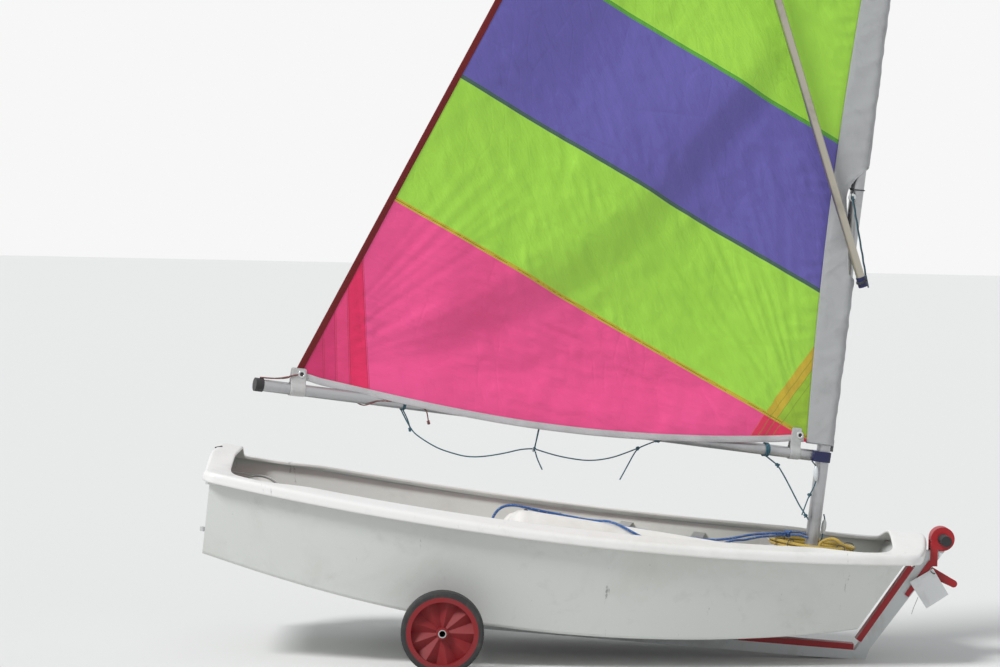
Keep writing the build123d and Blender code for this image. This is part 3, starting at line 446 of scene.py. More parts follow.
# Ropes in the boat, along the routes of their solids
sheet_face = (1.88976, -0.048, -0.003)
sheet_out = [sheet_face] + mm((
    (1868, -65, -3), (1825, -98, -8), (1775, -131, -14), (1730, -163, -25), (1683, -191, -36),
    (1634, -214, -43), (1560, -226, -42), (1480, -233, -40), (1400, -239, -34), (1325, -247, -31),
    (1250, -255, -29), (1175, -264, -23), (1105, -276, -16), (1040, -296, -7), (990, -311, 1),
    (951, -318, -8), (929, -322, -36), (920, -323, -78), (911, -320, -113), (890, -314, -131),
    (864, -308, -146), (856, -303, -186), (855, -300, -243), (853, -296, -300), (838, -289, -340),
    (810, -276, -351.5),
))
sheet_back = mm((
    (853, -306, -298), (855, -310, -243), (856, -313, -186), (864, -318, -146), (890, -324, -131),
    (911, -330, -113), (920, -333, -78), (929, -332, -36), (951, -328, -8), (990, -321, 1), (1040, -306, -5),
    (1105, -286, -12), (1175, -274, -18), (1250, -268, -23), (1297, -300, -14), (1337, -340, -22),
    (1374, -362, -36), (1420, -368, -52), (1500, -362, -60), (1580, -352, -64), (1640, -335, -56),
    (1680, -290, -36), (1712, -240, -30), (1744, -200, -30), (1771, -166, -24), (1808, -124, -17),
    (1847, -84, -15.4), (1868, -65, -11.6),
)) + [(1.88976, -0.048, -0.0116)]
TURN_POINTS = 14


def coil(center, layers, start_turn, floor, wobble, seed, sense=1):
    """Turns of rope lying beside and on each other: (radius, height over the floor) for each turn."""
    random = np.random.RandomState(seed)
    points = []
    for k in range(len(layers) * TURN_POINTS + 1):
        turn = min(k // TURN_POINTS, len(layers) - 1)
        here, after = layers[turn], layers[min(turn + 1, len(layers) - 1)]
        share = float(ease((k - TURN_POINTS * turn) / TURN_POINTS, 0.7, 1.0))
        radius = here[0] + (after[0] - here[0]) * share + random.uniform(-wobble, wobble)
        height = here[1] + (after[1] - here[1]) * share
        angle = start_turn + sense * 2 * pi * k / TURN_POINTS
        x, y = center[0] + radius * cos(angle), center[1] + radius * sin(angle)
        points.append((x, y, floor(x, y) + height))
    return points


def boat_floor(x, y):
    """Height of the hull's floor in the boat's frame."""
    chine = -0.38 + 0.086 * (x - 1.15) ** 2
    return chine + 0.006 - 0.011 * (1 - (y / 0.43) ** 2)


def thwart_top(x, y):
    return -0.045


rope = 0.008
sheet_layers = mm((
    (51, 4.6), (42.5, 4.6), (36, 5), (40, 13), (48.5, 13.2), (52, 13.6), (44, 21.5), (37, 22), (42, 30),
    (50, 30),
))
sheet_turns = coil((0.77, -0.235), sheet_layers, radians(-95), boat_floor, 0.0004, 1, -1)[:-4]
down = sheet_out[:-1] + [(0.806, -0.2855, -0.3545)]
rise_back = [(0.8375, -0.2945, -0.329), (0.8495, -0.303, -0.318)]
route = down + sheet_turns + rise_back + sheet_back
mainsheet = line("mainsheet", route, rope, "sheet_rope", BOAT)
mainsheet.data.resolution_u = 6
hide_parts("mainsheet_run", "mainsheet_coil", "mainsheet_return")


def spline_length(piece):
    """Length of a curve's own line."""
    bare = piece.data.copy()
    bare.bevel_depth = 0
    spare = bpy.data.objects.new("measure", bare)
    mesh = bpy.data.meshes.new_from_object(spare)
    place = [vertex.co for vertex in mesh.vertices]
    total = sum((second - first).length for first, second in zip(place, place[1:]))
    bpy.data.objects.remove(spare)
    bpy.data.meshes.remove(mesh)
    return total


round(spline_length(mainsheet), 2)

# Painter: from its stopper knot under the thwart up through the hole and round the mast in a flat coil
painter_lead = mm((
    (2004.5, -60, -67), (2004.5, -60, -40), (2004.5, -60, -17), (2044.5, -80, 5.5), (2076, -92, -15),
))
painter_layers = mm(((143, 18), (138, 5.5), (128.5, 5.5), (134.5, 15)))
painter_turns = coil((MAST_X, 0), painter_layers, -0.5, thwart_top, 0.001, 4)
painter = line("painter", painter_lead + painter_turns, 0.01, "painter_rope", BOAT)
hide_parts("painter_lead", "painter_coil")
stopper = knot("painter_stopper", (2.0045, -0.06, -0.0785), 0.02, 0.009, "painter_rope", 2, BOAT)
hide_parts("painter_knot")
painter_tail = knot("painter_tail", painter_turns[-1], 0.016, 0.008, "painter_rope", 5, BOAT)
round(spline_length(painter), 2)
tie_section = mm(((-18, -45), (-19, -30), (-16, -18.5), (0, -16.5), (16, -18.5), (19, -30), (18, -45)))
for number, turn in enumerate((-2.2, 2.35, 0.35, -0.9)):
    out = Vector((cos(turn), sin(turn), 0))
    loop = [Vector((MAST_X, 0, height)) + out * (0.136 + away) for away, height in tie_section]
    line(f"coil_tie_{number}", loop, 0.003, "dark_line", BOAT)

# The sheet's knot, and its two strands behind the mast
sheet_knot = knot("mainsheet_knot_tied", (1.9, -0.04, -0.003), 0.021, 0.0078, "sheet_rope", 1, BOAT)
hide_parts("mainsheet_knot")
for number, strand in enumerate((((1906, -34, 0), (1928, -21, 3), (1946, -9, 1), (1962.5, -1, -3)),
                                 ((1905, -42, -7), (1932, -32, -6), (1952, -22, -9), (1967.5, -16.5, -12)))):
    line(f"sheet_strand_{number}", mm(strand), 0.0062, "sheet_rope", BOAT)


# Sail and sleeve, in the rig's frame
def sleeve_aft(z):
    """The sleeve's after edge at a height."""
    fit = np.polyfit((0.3, 1.2, 1.95), (0.066, 0.091, 0.062), 2)
    return np.polyval(fit, z)


TACK = np.array([sleeve_aft(0.3), 0.3])
THROAT = np.array([sleeve_aft(1.94), 1.94])
CLEW = np.array([1.846, 0.334])
PEAK = np.array([0.872, 2.711])
foot_fit = np.polyfit((0.066, 0.125, 0.4, 0.935, 1.403, 1.785, 1.846),
                      (0.3, 0.297, 0.273, 0.252, 0.284, 0.318, 0.334), 4)


def foot_height(a):
    """The foot's lower edge: the straight line at its ends, and the round between them."""
    ends = TACK[1] + (CLEW[1] - TACK[1]) * (a - TACK[0]) / (CLEW[0] - TACK[0])
    hold = ease(a, TACK[0], TACK[0] + 0.12) * (1 - ease(a, CLEW[0] - 0.1, CLEW[0]))
    return ends + (np.polyval(foot_fit, a) - ends) * hold


leech_way = (PEAK - CLEW) / np.linalg.norm(PEAK - CLEW)
head_way = (PEAK - THROAT) / np.linalg.norm(PEAK - THROAT)


def from_line(a, z, origin, way):
    """Distance from a line, positive on the sail's side of the leech or head."""
    return (a - origin[0]) * way[1] - (z - origin[1]) * way[0]


# The long soft step in the cloth from the clew up towards the throat
STEP = mm((
    (1620, 430), (1432, 504), (1287, 579), (1129, 664), (1009, 745), (847, 878), (673, 1060), (538, 1238),
    (407, 1421), (369, 1615), (350, 1800),
))


def from_step(a, z):
    """Signed distance from the step's line, positive on its upper side."""
    near = np.full(np.shape(a), 9.0)
    signed = np.full(np.shape(a), 9.0)
    for (a0, z0), (a1, z1) in zip(STEP, STEP[1:]):
        run_a, run_z = a1 - a0, z1 - z0
        share = np.clip(((a - a0) * run_a + (z - z0) * run_z) / (run_a ** 2 + run_z ** 2), 0, 1)
        off_a, off_z = a - a0 - share * run_a, z - z0 - share * run_z
        away = np.hypot(off_a, off_z)
        side = np.where(run_z * off_a - run_a * off_z > 0, 1.0, -1.0)
        signed = np.where(away < near, away * side, signed)
        near = np.minimum(away, near)
    return signed


def sail_relief(a, z):
    """How far the cloth stands to starboard of the rig's plane: fullness, folds and creases."""
    a, z = np.asarray(a, float), np.asarray(z, float)
    luff = np.maximum(a - sleeve_aft(z), 0)
    leech = np.maximum(-from_line(a, z, CLEW, leech_way), 0)
    head = np.maximum(from_line(a, z, THROAT, head_way), 0)
    foot = np.maximum(z - foot_height(a), 0)
    hold = ease(luff, 0, 0.1) * ease(leech, 0, 0.14) * ease(head, 0, 0.12)
    full = ease(luff, 0, 0.45) * ease(leech, 0, 0.5) * ease(head, 0, 0.4)
    ends = ease(a, 0.1, 0.45) * (1 - ease(a, 1.35, 1.75))
    out = 0.036 * ends * (1 - ease(foot, 0.02, 0.19)) - 0.034 * full * ease(foot, 0.05, 0.45)
    step = from_step(a, z) + 0.02 * smooth_noise(a, z, 12, 0.35)
    strength = (1 - ease(a, 1.35, 1.6)) * (1 - ease(z, 1.4, 1.8)) * ease(luff, 0.05, 0.25)
    out = out + strength * hold * (0.042 * ease(step, -0.1, 0.07) * (1 - ease(step, 0.07, 0.6))
                                   + 0.006 * np.exp(-(((step + 0.11) / 0.05) ** 2)))
    # Long slanting creases, finer ones over them, and small crumples
    steep, flat = ease(z - 0.4 * a, 0.18, 0.34), 1 - ease(z - 0.4 * a, 0.18, 0.34)
    along, across = 0.57 * a + 0.82 * z, 0.82 * a - 0.57 * z
    bend = 0.05 * smooth_noise(a, z, 11, 0.5)
    folds = ridges(along / 4.0, across + bend, 3, 0.095) * 0.0046
    folds = folds + ridges(along / 3.0, across + bend, 5, 0.047) * 0.0026
    low_along, low_across = 0.96 * a + 0.28 * z, -0.28 * a + 0.96 * z
    wavelets = ridges(low_along / 4.5, low_across + 0.4 * bend, 8, 0.064) * 0.004
    wavelets = wavelets + ridges(low_along / 3.0, low_across, 9, 0.036) * 0.0022
    crumple = smooth_noise(a, z, 21, 0.085) * 0.003 + smooth_noise(a, z, 22, 0.038) * 0.0012
    patchy = 0.45 + 0.55 * ease(smooth_noise(a, z, 31, 0.42), -0.35, 0.45)
    out = out + hold * patchy * (steep * folds + flat * wavelets + crumple)
    # Folds that gather at the tack and at the clew
    for corner, way, seed, size in ((TACK, 0.95, 41, 0.0055), (CLEW, 2.45, 42, 0.0022)):
        reach = np.hypot(a - corner[0], z - corner[1])
        turn = np.arctan2(z - corner[1], a - corner[0])
        fan = np.exp(-(((turn - way) / 0.42) ** 2)) * ease(reach, 0.1, 0.35) * (1 - ease(reach, 0.7, 1.25))
        out = out + size * fan * hold * ridges(turn, reach / 9.0, seed, 0.075)
    # The cloth gathers a little along the sleeve and the leech tape
    out = out + 0.003 * ridges(z, luff / 3, 51, 0.05) * (1 - ease(luff, 0.02, 0.14)) * ease(luff, 0, 0.02)
    edge = (1 - ease(leech, 0.02, 0.16)) * ease(leech, 0, 0.03)
    return out + 0.0032 * smooth_noise(z, leech, 52, 0.09) * edge


def sail_grid(columns, rows):
    """Points over the sail's outline: from the luff to the leech, and from the foot to the head."""
    u, v = np.meshgrid(np.linspace(0, 1, columns), np.linspace(0, 1, rows))
    foot_a = TACK[0] + (CLEW[0] - TACK[0]) * u
    foot = np.stack([foot_a, foot_height(foot_a)], -1)
    head_a = THROAT[0] + (PEAK[0] - THROAT[0]) * u
    head_z = THROAT[1] + (PEAK[1] - THROAT[1]) * u + 0.014 * np.sin(pi * u)
    head = np.stack([head_a, head_z], -1)
    luff_z = TACK[1] + (THROAT[1] - TACK[1]) * v
    luff = np.stack([sleeve_aft(luff_z) - 0.003, luff_z], -1)
    leech = CLEW + (PEAK - CLEW) * v[..., None]
    u, v = u[..., None], v[..., None]
    flat = (1 - v) * foot + v * head + (1 - u) * luff + u * leech
    corners = (1 - u) * (1 - v) * TACK + u * (1 - v) * CLEW + (1 - u) * v * THROAT + u * v * PEAK
    return flat - corners


flat_sail = sail_grid(235, 330)
relief = sail_relief(flat_sail[..., 0], flat_sail[..., 1])
sail_points = np.stack([flat_sail[..., 0], relief, flat_sail[..., 1]], -1)

SEAMS = (0.269, 0.7084, 1.1627, 1.62, 2.075)
TACK_PATCH = 0.3986
FAR = 5
LIME, PINK, PURPLE = linear(158, 214, 66), linear(236, 76, 138), linear(96, 88, 166)
cloth = Finish("sail_cloth", LIME, 0.55, source="UV", Sheen_Weight=0.15, Sheen_Roughness=0.4)
split = cloth.add("SeparateXYZ")
cloth.links.new(cloth.coords, split.inputs["Vector"])


def plane(normal_a, normal_z):
    """The distance of a point from the origin along a direction in the sail's plane."""
    first = cloth.times(split.outputs["X"], normal_a)
    return cloth.math("ADD", first, cloth.times(split.outputs["Y"], normal_z))


def between(value, low, high, soft=0.0008):
    """1 where a value lies between two numbers."""
    first = cloth.span(value, low - soft, low + soft)
    return cloth.times(first, cloth.span(value, high - soft, high + soft, 1, 0))


rung, stitch_run, tack_side = plane(-0.3714, 0.9285), plane(0.9285, 0.3714), plane(0.8452, 0.5345)
low_panel, at_tack = between(rung, -FAR, SEAMS[0]), between(tack_side, -FAR, TACK_PATCH)
cloth.tint(low_panel, PINK)
cloth.tint(between(rung, SEAMS[1], SEAMS[2]), PURPLE)
cloth.tint(between(rung, SEAMS[3], SEAMS[4]), PINK)
clew_seams = []
for normal, place, shade in (
    ((0.986, -0.1666), 1.5202, (226, 34, 92)), ((0.9888, -0.1491), 1.589, (226, 60, 118)),
    ((0.9897, -0.1434), 1.6361, (212, 48, 108)), ((0.988, -0.1547), 1.6685, (204, 44, 102)),
):
    clew_seams.append((plane(*normal), place))
    cloth.tint(between(*clew_seams[-1], FAR), linear(*shade))
cloth.tint(at_tack, linear(150, 190, 48))
cloth.tint(between(tack_side, 0.354, TACK_PATCH), linear(196, 168, 44))
cloth.tint(cloth.times(at_tack, low_panel), linear(224, 44, 84))
dashes = cloth.span(cloth.math("SINE", cloth.times(stitch_run, 900), 0), -0.2, 0.2)
yellow_tape = linear(198, 176, 44)
tapes = (yellow_tape, linear(62, 92, 84), linear(86, 160, 52), yellow_tape, yellow_tape)
for seam, tape in zip(SEAMS, tapes):
    cloth.tint(between(rung, seam - 0.0065, seam + 0.0065), tape)
    for edge in (-0.0042, 0.0042):
        thread = between(rung, seam + edge - 0.0006, seam + edge + 0.0006, 0.0003)
        cloth.tint(cloth.times(thread, dashes), darker(tape, 0.45))
for across_seam, place in clew_seams:
    for edge in (-0.0025, 0.0025):
        stitch = between(across_seam, place + edge - 0.0006, place + edge + 0.0006, 0.0004)
        cloth.tint(stitch, linear(160, 30, 62))
for place in (0.376, 0.354, 0.33):
    stitch = between(tack_side, place - 0.0008, place + 0.0008, 0.0004)
    cloth.tint(cloth.times(stitch, at_tack), linear(120, 140, 36))
cloud = cloth.span(cloth.noise(2.2), 0.35, 0.7, 0, 0.16)
cloth.tint(cloud, (0.9, 0.9, 0.9), "SOFT_LIGHT")
for panels, slant in ((between(rung, SEAMS[0], FAR), 0.607), (low_panel, 1.287)):
    for scale, height in ((24, 0.005), (52, 0.002)):
        streaks = cloth.noise(scale, distortion=0.3, stretch=(1, 0.28, 1), turn=(0, 0, slant))
        cloth.bump(cloth.times(streaks, panels), height, 0.9)
for scale, height, slant, patches in ((5.5, 0.0016, 0.5, 2.1), (9, 0.0011, 1.2, 3.7), (16, 0.0007, 0.2, 2.9)):
    net = cloth.cell_edges(scale, stretch=(1, 0.4, 1), turn=(0, 0, slant))
    net = cloth.span(net, 0, 0.07, 1, 0)
    shown = cloth.span(cloth.noise(patches, 3), 0.46, 0.6)
    cloth.bump(cloth.times(net, shown), height, 0.8)
cloth.bump(cloth.crossed(420), 0.00012)

sail = put("sail_cloth_panel", sail_points, grid_faces(*flat_sail.shape[:2]), "sail_cloth", RIG,
           flat_sail)
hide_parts("sail")


tape_side = ((1.0, 0.0014), (0.5, 0.0017), (0.08, 0.0014))
TAPE_SECTION = (*tape_side, (-0.05, 0.0), *((share, -out) for share, out in tape_side[::-1]))


def edge_tape(name, places, inward, width, material):
    """A tape folded over an edge of the sail; inward is the way from the edge into the cloth."""
    points, uvs = [], []
    run = 0.0
    for number, place in enumerate(places):
        if number:
            run += float(np.hypot(*(place - places[number - 1])))
        for share, side in TAPE_SECTION:
            a, z = place + np.array(inward) * width * share
            points.append((a, float(sail_relief(a, z)) + side, z))
            uvs.append((run, width * share + side * 10))
    put(name, points, grid_faces(len(places), 7), material, RIG, uvs)


shares = np.linspace(0, 1, 150)
leech_points = [CLEW + (PEAK - CLEW) * s for s in shares]
edge_tape("leech_tape", leech_points, (-leech_way[1], leech_way[0]), 0.02, "leech_red")
foot_a = TACK[0] + 0.012 + (CLEW[0] - 0.004 - TACK[0] - 0.012) * shares
foot_points = [np.array([a, float(foot_height(a))]) for a in foot_a]
edge_tape("foot_tape", foot_points, (0.0, 1.0), 0.021, "foot_white")
head_points = [THROAT + (PEAK - THROAT) * s + np.array([0, 0.014 * sin(pi * s)]) for s in shares]
edge_tape("head_tape", head_points, (head_way[1], -head_way[0]), 0.02, "foot_white")

# Luff sleeve: a pocket of heavier cloth round the mast, open in front where the sprit's tackle works
SLEEVE_RADIUS = 0.0262
OPEN_LOW, OPEN_HIGH = 0.842, 1.223
ACROSS = 20


def wrap(aft_edge):
    """The angle at which the sleeve leaves the mast's round, and the straight run behind it."""
    straight = sqrt(aft_edge ** 2 - SLEEVE_RADIUS ** 2)
    return pi - atan2(straight, SLEEVE_RADIUS), straight


def sleeve_point(path, z, side, aft_edge):
    """A point of the sleeve's side, path metres back from its front line."""
    turn = wrap(aft_edge)[0]
    arc = SLEEVE_RADIUS * turn
    angle = min(path, arc) / SLEEVE_RADIUS
    out = Vector((-cos(angle), sin(angle)))
    place = out * SLEEVE_RADIUS
    if path > arc:
        edge = Vector((aft_edge, 0.0018))
        place = place.lerp(edge, min((path - arc) / (edge - place).length, 1.0))
    puff = 0.5 + 0.5 * float(smooth_noise(path * 1.3 + 3 * side, z, 61, 0.11))
    crease = float(ridges(path * 0.5, z + 0.7 * path * side, 62, 0.07))
    lift = 0.0034 * puff + 0.0026 * max(crease, 0)
    place = place + out * lift * (1 - 0.8 * float(ease(place.x, aft_edge - 0.02, aft_edge)))
    return (place.x, side * place.y, z)


open_z = (OPEN_LOW, 0.85, 0.862, 1.113, 1.14, 1.175, 1.205, OPEN_HIGH)
open_x = (-SLEEVE_RADIUS, -0.012, 0.005, 0.044, 0.041, 0.022, -0.004, -SLEEVE_RADIUS)


def open_path(z, aft_edge):
    """How far back from its front line the sleeve is cut away at a height."""
    x = float(np.interp(z, open_z, open_x))
    turn, straight = wrap(aft_edge)
    touch_x = -cos(turn) * SLEEVE_RADIUS
    if x <= touch_x:
        return SLEEVE_RADIUS * float(np.arccos(np.clip(-x / SLEEVE_RADIUS, -1, 1)))
    return SLEEVE_RADIUS * turn + straight * (x - touch_x) / (aft_edge - touch_x)


heights = np.concatenate([
    np.linspace(0.297, 0.842, 60)[:-1], np.linspace(0.842, 0.87, 12)[:-1], np.linspace(0.87, 1.1, 30)[:-1],
    np.linspace(1.1, 1.223, 30)[:-1], np.linspace(1.223, 1.952, 80),
])
sleeve_points, sleeve_uvs, opening_edges = [], [], {1: [], -1: []}
for z in heights:
    aft_edge = float(sleeve_aft(z))
    turn, straight = wrap(aft_edge)
    whole, cut = SLEEVE_RADIUS * turn + straight, open_path(z, aft_edge)
    for side in (1, -1):
        paths = np.linspace(whole, cut, ACROSS) if side == 1 else np.linspace(cut, whole, ACROSS)
        sleeve_points += [sleeve_point(path, z, side, aft_edge) for path in paths]
        sleeve_uvs += [(side * path, z) for path in paths]
        if OPEN_LOW <= z <= OPEN_HIGH:
            opening_edges[side].append(sleeve_point(cut, z, side, aft_edge))
opened = {i * (2 * ACROSS - 1) + ACROSS - 1 for i, z in enumerate(heights[:-1])
          if OPEN_LOW - 1e-6 <= z < OPEN_HIGH - 1e-6}
faces = [face for number, face in enumerate(grid_faces(len(heights), 2 * ACROSS)) if number not in opened]
sleeve = put("sleeve_cloth_pocket", sleeve_points, faces, "sleeve_white_painted_shade", RIG, sleeve_uvs)
thicken(sleeve, 0.0009)
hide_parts("luff_sleeve")
hem_route = opening_edges[1] + opening_edges[-1][::-1]
line("sleeve_opening_hem", hem_route[::2] + [hem_route[0]], 0.0042, "sleeve_white_painted_shade")
for level, diameter in ((0.302, 0.003), (0.345, 0.0016)):
    aft_edge = float(sleeve_aft(level))
    paths = np.linspace(0.001, 0.92 * (SLEEVE_RADIUS * 1.9 + aft_edge), 14)
    port, starboard = ([sleeve_point(path, level, side, aft_edge) for path in paths] for side in (1, -1))
    line(f"sleeve_hem_{int(level * 1000)}", port[::-1] + starboard, diameter, "sleeve_white_painted_shade")
tab = [(-0.03, y, z) for z in (0.316, 0.3, 0.286, 0.277) for y in (-0.009, 0.0, 0.009)]
thicken(put("sleeve_tab", tab, grid_faces(4, 3), "sleeve_white_painted_shade", RIG, [(y, z) for _, y, z in tab]), 0.0016)


# Webbing at the tack and the clew, wrapped round the boom, with a metal eye in each
def boom_height(a):
    return BOOM_HEIGHT + BOOM_SLOPE * a


def boom_wrap(name, at, width, top, node, material, eye_a, eye_z):
    """A loop of "webbing" round the boom whose ends are sewn to the sail's corner."""
    middle = boom_height(at)
    radius = BOOM_RADIUS + 0.0019
    rise = [(0.0062, top), (0.0064, (top + middle + radius) / 2), (0.0074, middle + radius + 0.006)]
    turns = [radians(62 - (124 + 180) * k / 12) for k in range(13)]
    path = rise + [(radius * cos(turn), middle + radius * sin(turn)) for turn in turns]
    path += [(-y, z) for y, z in rise[::-1]]
    points, uvs, run = [], [], 0.0
    for number, (y, z) in enumerate(path):
        if number:
            run += sqrt((y - path[number - 1][0]) ** 2 + (z - path[number - 1][1]) ** 2)
        for k in range(7):
            a = at + width * (k / 6 - 0.5)
            wave = 0.0005 * sin(3 * k + number)
            points.append((a, y + (wave if y > 0 else -wave), z))
            uvs.append((a, run))
    strap = put(name, points, grid_faces(len(path), 7), material, RIG, uvs)
    smoothed(thicken(strap, 0.0024))
    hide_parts(node)
    ring = mm(((6.2, -1.6), (6.2, 1.6), (9.2, 2.4), (12.4, 1.4), (12.4, -1.6)))
    hole = mm(((6.4, -1.0), (6.4, 0.6)))
    for side in (1, -1):
        center, axis = (eye_a, side * 0.0077, eye_z), (0, side, 0)
        lathe(f"{name}_eye_{side + 1}", ring, center, axis, "stainless", close=False)
        lathe(f"{name}_eye_hole_{side + 1}", hole, center, axis, "black_plastic")


boom_wrap("clew_wrap", 1.8265, 0.05, 0.366, "clew_strap", "clew_webbing", 1.8183, 0.3472)
boom_wrap("tack_wrap", 0.1075, 0.038, 0.346, "tack_strap", "webbing", 0.0954, 0.3208)


# Rim: a hollow moulding whose top slopes outward, with a soft outer edge, crowned at both ends
RIM_SIDE, RIM_END, CAMBER = 0.06, 0.08, 0.052
BOW, STRAKE, ROUND = 2.3, 0.034, 0.017


def through(x, first, middle, last):
    """Height at x of the circle's arc through three places."""
    (x1, y1), (x2, y2), (x3, y3) = first, middle, last
    twice = 2 * (x1 * (y2 - y3) + x2 * (y3 - y1) + x3 * (y1 - y2))
    s1, s2, s3 = x1 ** 2 + y1 ** 2, x2 ** 2 + y2 ** 2, x3 ** 2 + y3 ** 2
    cx = (s1 * (y2 - y3) + s2 * (y3 - y1) + s3 * (y1 - y2)) / twice
    cy = (s1 * (x3 - x2) + s2 * (x1 - x3) + s3 * (x2 - x1)) / twice
    radius = sqrt((x1 - cx) ** 2 + (y1 - cy) ** 2)
    return cy + (1 if y2 > cy else -1) * sqrt(radius ** 2 - (x - cx) ** 2)


def half_beam(x):
    return through(x, (0, 0.4725), (1.035, 0.565), (BOW, 0.318))


def rim_height(x, y):
    """The rim's height along its outer top edge: the sheer and the two crowns."""
    sheer = through(min(max(x, 0), BOW), (0, 0), (1.15, -0.049), (BOW, 0))
    if x < 0.3:
        return sheer + 0.0475 * (1 - float(ease(abs(y), 0.17, 0.41)))
    if x > 2.0:
        return sheer + 0.048 * (1 - float(ease(abs(y), 0.0, 0.3)))
    return sheer


def rim_outline(side_inset, end_inset, corner, camber):
    """One outline in plan, from the stern's middle round by port to the bow's middle."""
    back, front = end_inset, BOW - end_inset
    wide_back, wide_front = half_beam(back) - side_inset, half_beam(front) - side_inset

    def bow_x(y):
        return front + camber * (1 - (y / wide_front) ** 2)

    def turned(start, middle, end, count):
        return [np.array(start) * (1 - t) ** 2 + np.array(middle) * 2 * t * (1 - t) + np.array(end) * t * t
                for t in np.linspace(0, 1, count + 2)[1:-1]]

    half = [np.array((back, y)) for y in np.linspace(0, wide_back - corner, 26)]
    half += turned((back, wide_back - corner), (back, wide_back),
                   (back + corner, half_beam(back + corner) - side_inset), 9)
    half += [np.array((x, half_beam(x) - side_inset)) for x in np.linspace(back + corner, front - corner, 96)]
    half += turned((front - corner, half_beam(front - corner) - side_inset), (front, wide_front),
                   (bow_x(wide_front - corner), wide_front - corner), 9)
    half += [np.array((bow_x(y), y)) for y in np.linspace(wide_front - corner, 0, 22)]
    return half


rim_points = []
outer_half, inner_half = rim_outline(0, 0, 0.045, CAMBER), rim_outline(RIM_SIDE, RIM_END, 0.105, 0.01)
pairs = [(outer, inner, 1) for outer, inner in zip(outer_half, inner_half)]
pairs += [(outer, inner, -1) for outer, inner in zip(outer_half, inner_half)][::-1][1:-1]
for outer, inner, side in pairs:
    width = float(np.hypot(*(inner - outer)))
    low, high = rim_height(*outer), rim_height(*inner)
    end_gap = min(outer[0], BOW - outer[0])
    top = high + 0.002 + 0.013 * float(ease(end_gap, 0.02, 0.26)) - low
    bulge = CAMBER * max(0.0, 1 - (outer[1] / 0.318) ** 2) if outer[0] > BOW - 0.03 else 0
    to_hull = 0.024 + bulge
    half_round = 0.5 * ROUND
    slope = top / (width - half_round)
    section = [(to_hull + 0.008, -STRAKE), (0.006, -STRAKE), (0.0015, -STRAKE + 0.0015),
               (0.0, -STRAKE + 0.006), (0.0, -0.024)]
    for k in range(8):
        turn = radians(90 * k / 7)
        along = ROUND * (1 - cos(turn))
        section.append((along, -ROUND + ROUND * sin(turn) + slope * max(0.0, along - half_round)))
    section += [(share * width, slope * (share * width - half_round)) for share in np.linspace(0.3, 0.96, 7)]
    section += [(width - 0.001, top - 0.0009), (width, top - 0.0034), (width, top - 0.0085),
                (width - 0.002, top - 0.0105), (to_hull + 0.006, min(-0.009, top - 0.0105)),
                (to_hull + 0.006, -STRAKE + 0.004)]
    for along, height in section:
        spot = outer + (inner - outer) * (along / width)
        rim_points.append((spot[0], side * spot[1], low + height))
rim_faces = grid_faces(len(pairs), len(rim_points) // len(pairs), True, True)
rim = put("rim_moulding", rim_points, rim_faces, "rim_white", BOAT)
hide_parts("gunwale")

# Dark mark on the stern's crown, drawn as a short black line
line("stern_dark_mark", mm(((4, -47, 44), (13, -30, 46.8), (22.5, -12, 48.2))), 0.005, "black_plastic", BOAT)

# Blank tag, turned as it hangs, with its tie
top_left, top_right = np.array((0.1592, 0.2587)), np.array((0.2353, 0.3047))
low_left, low_right = np.array((0.2172, 0.1726)), np.array((0.2884, 0.2201))
tag_points = []
for v in np.linspace(0, 1, 15):
    for u in np.linspace(0, 1, 11):
        x, z = (top_left * (1 - u) + top_right * u) * (1 - v) + (low_left * (1 - u) + low_right * u) * v
        tag_points.append((x, -0.035 - 0.0022 * sin(pi * u) + 0.001 * sin(2.6 * v), z))
tag = put("tag_card_blank", tag_points, grid_faces(15, 11), "tag_card", GROUND)
softened(thicken(tag, 0.0012), 0.0005)
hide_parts("tag")
tie = mm((
    (240, -30, 293), (244, -38.5, 287), (234, -40, 289), (227, -38.5, 296), (230, -29, 299), (238, -27, 296),
))
line("tag_tie", tie, 0.0026, "black_plastic", GROUND)
line("tag_tie_tail", mm(((188.3, -38, 209.9), (180, -40, 190), (172, -40, 170), (168.3, -37, 153.5))), 0.0024,
     "pale_plastic", GROUND)

# Buoyancy bags: inflated vinyl, with creases at the gathered ends
BAG_RADIUS, BAG_END, BAG_AROUND = 0.0945, 0.055, 44


def inflated(name, node, start, end, start_heights, end_heights):
    """A blown-up bag between two ends in the boat's frame, with the heights of its top and bottom at each."""
    start, end = Vector(start), Vector(end)
    run = (end - start).length
    way = (end - start).normalized()
    side = Vector((-way.y, way.x, 0))
    rounded = BAG_END * (1 - np.cos(np.linspace(0, pi / 2, 8)))[:-1]
    stops = np.concatenate([rounded, np.linspace(BAG_END, run - BAG_END, 46), (run - rounded)[::-1]])
    points = []
    for place in stops:
        share = place / run
        top, bottom = (first + (last - first) * share for first, last in zip(start_heights, end_heights))
        near = min(place, run - place)
        shrink = sqrt(max(0.0, 1 - (1 - min(near / BAG_END, 1.0)) ** 2)) if near < BAG_END else 1.0
        shrink = max(shrink, 0.02) ** 0.75
        height = (top - bottom) / 2 - BAG_RADIUS
        for k in range(BAG_AROUND):
            turn = 2 * pi * k / BAG_AROUND
            fold = max(0.0, float(ridges(turn * 0.13 + 0.2 * share, place, 71, 0.09)))
            size = shrink * (1 - 0.0144 * fold * (1 - float(ease(near, 0.02, 0.2))))
            z = BAG_RADIUS * sin(turn) + (height if sin(turn) > 0 else -height)
            points.append(start + way * place + side * (BAG_RADIUS * cos(turn) * size)
                          + Vector((0, 0, (top + bottom) / 2 + z * size)))
    faces = grid_faces(len(stops), BAG_AROUND, close_columns=True) + caps(len(stops), BAG_AROUND)
    bag = put(name, points, faces, "bag_vinyl", BOAT)
    smoothed(bag)
    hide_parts(node)


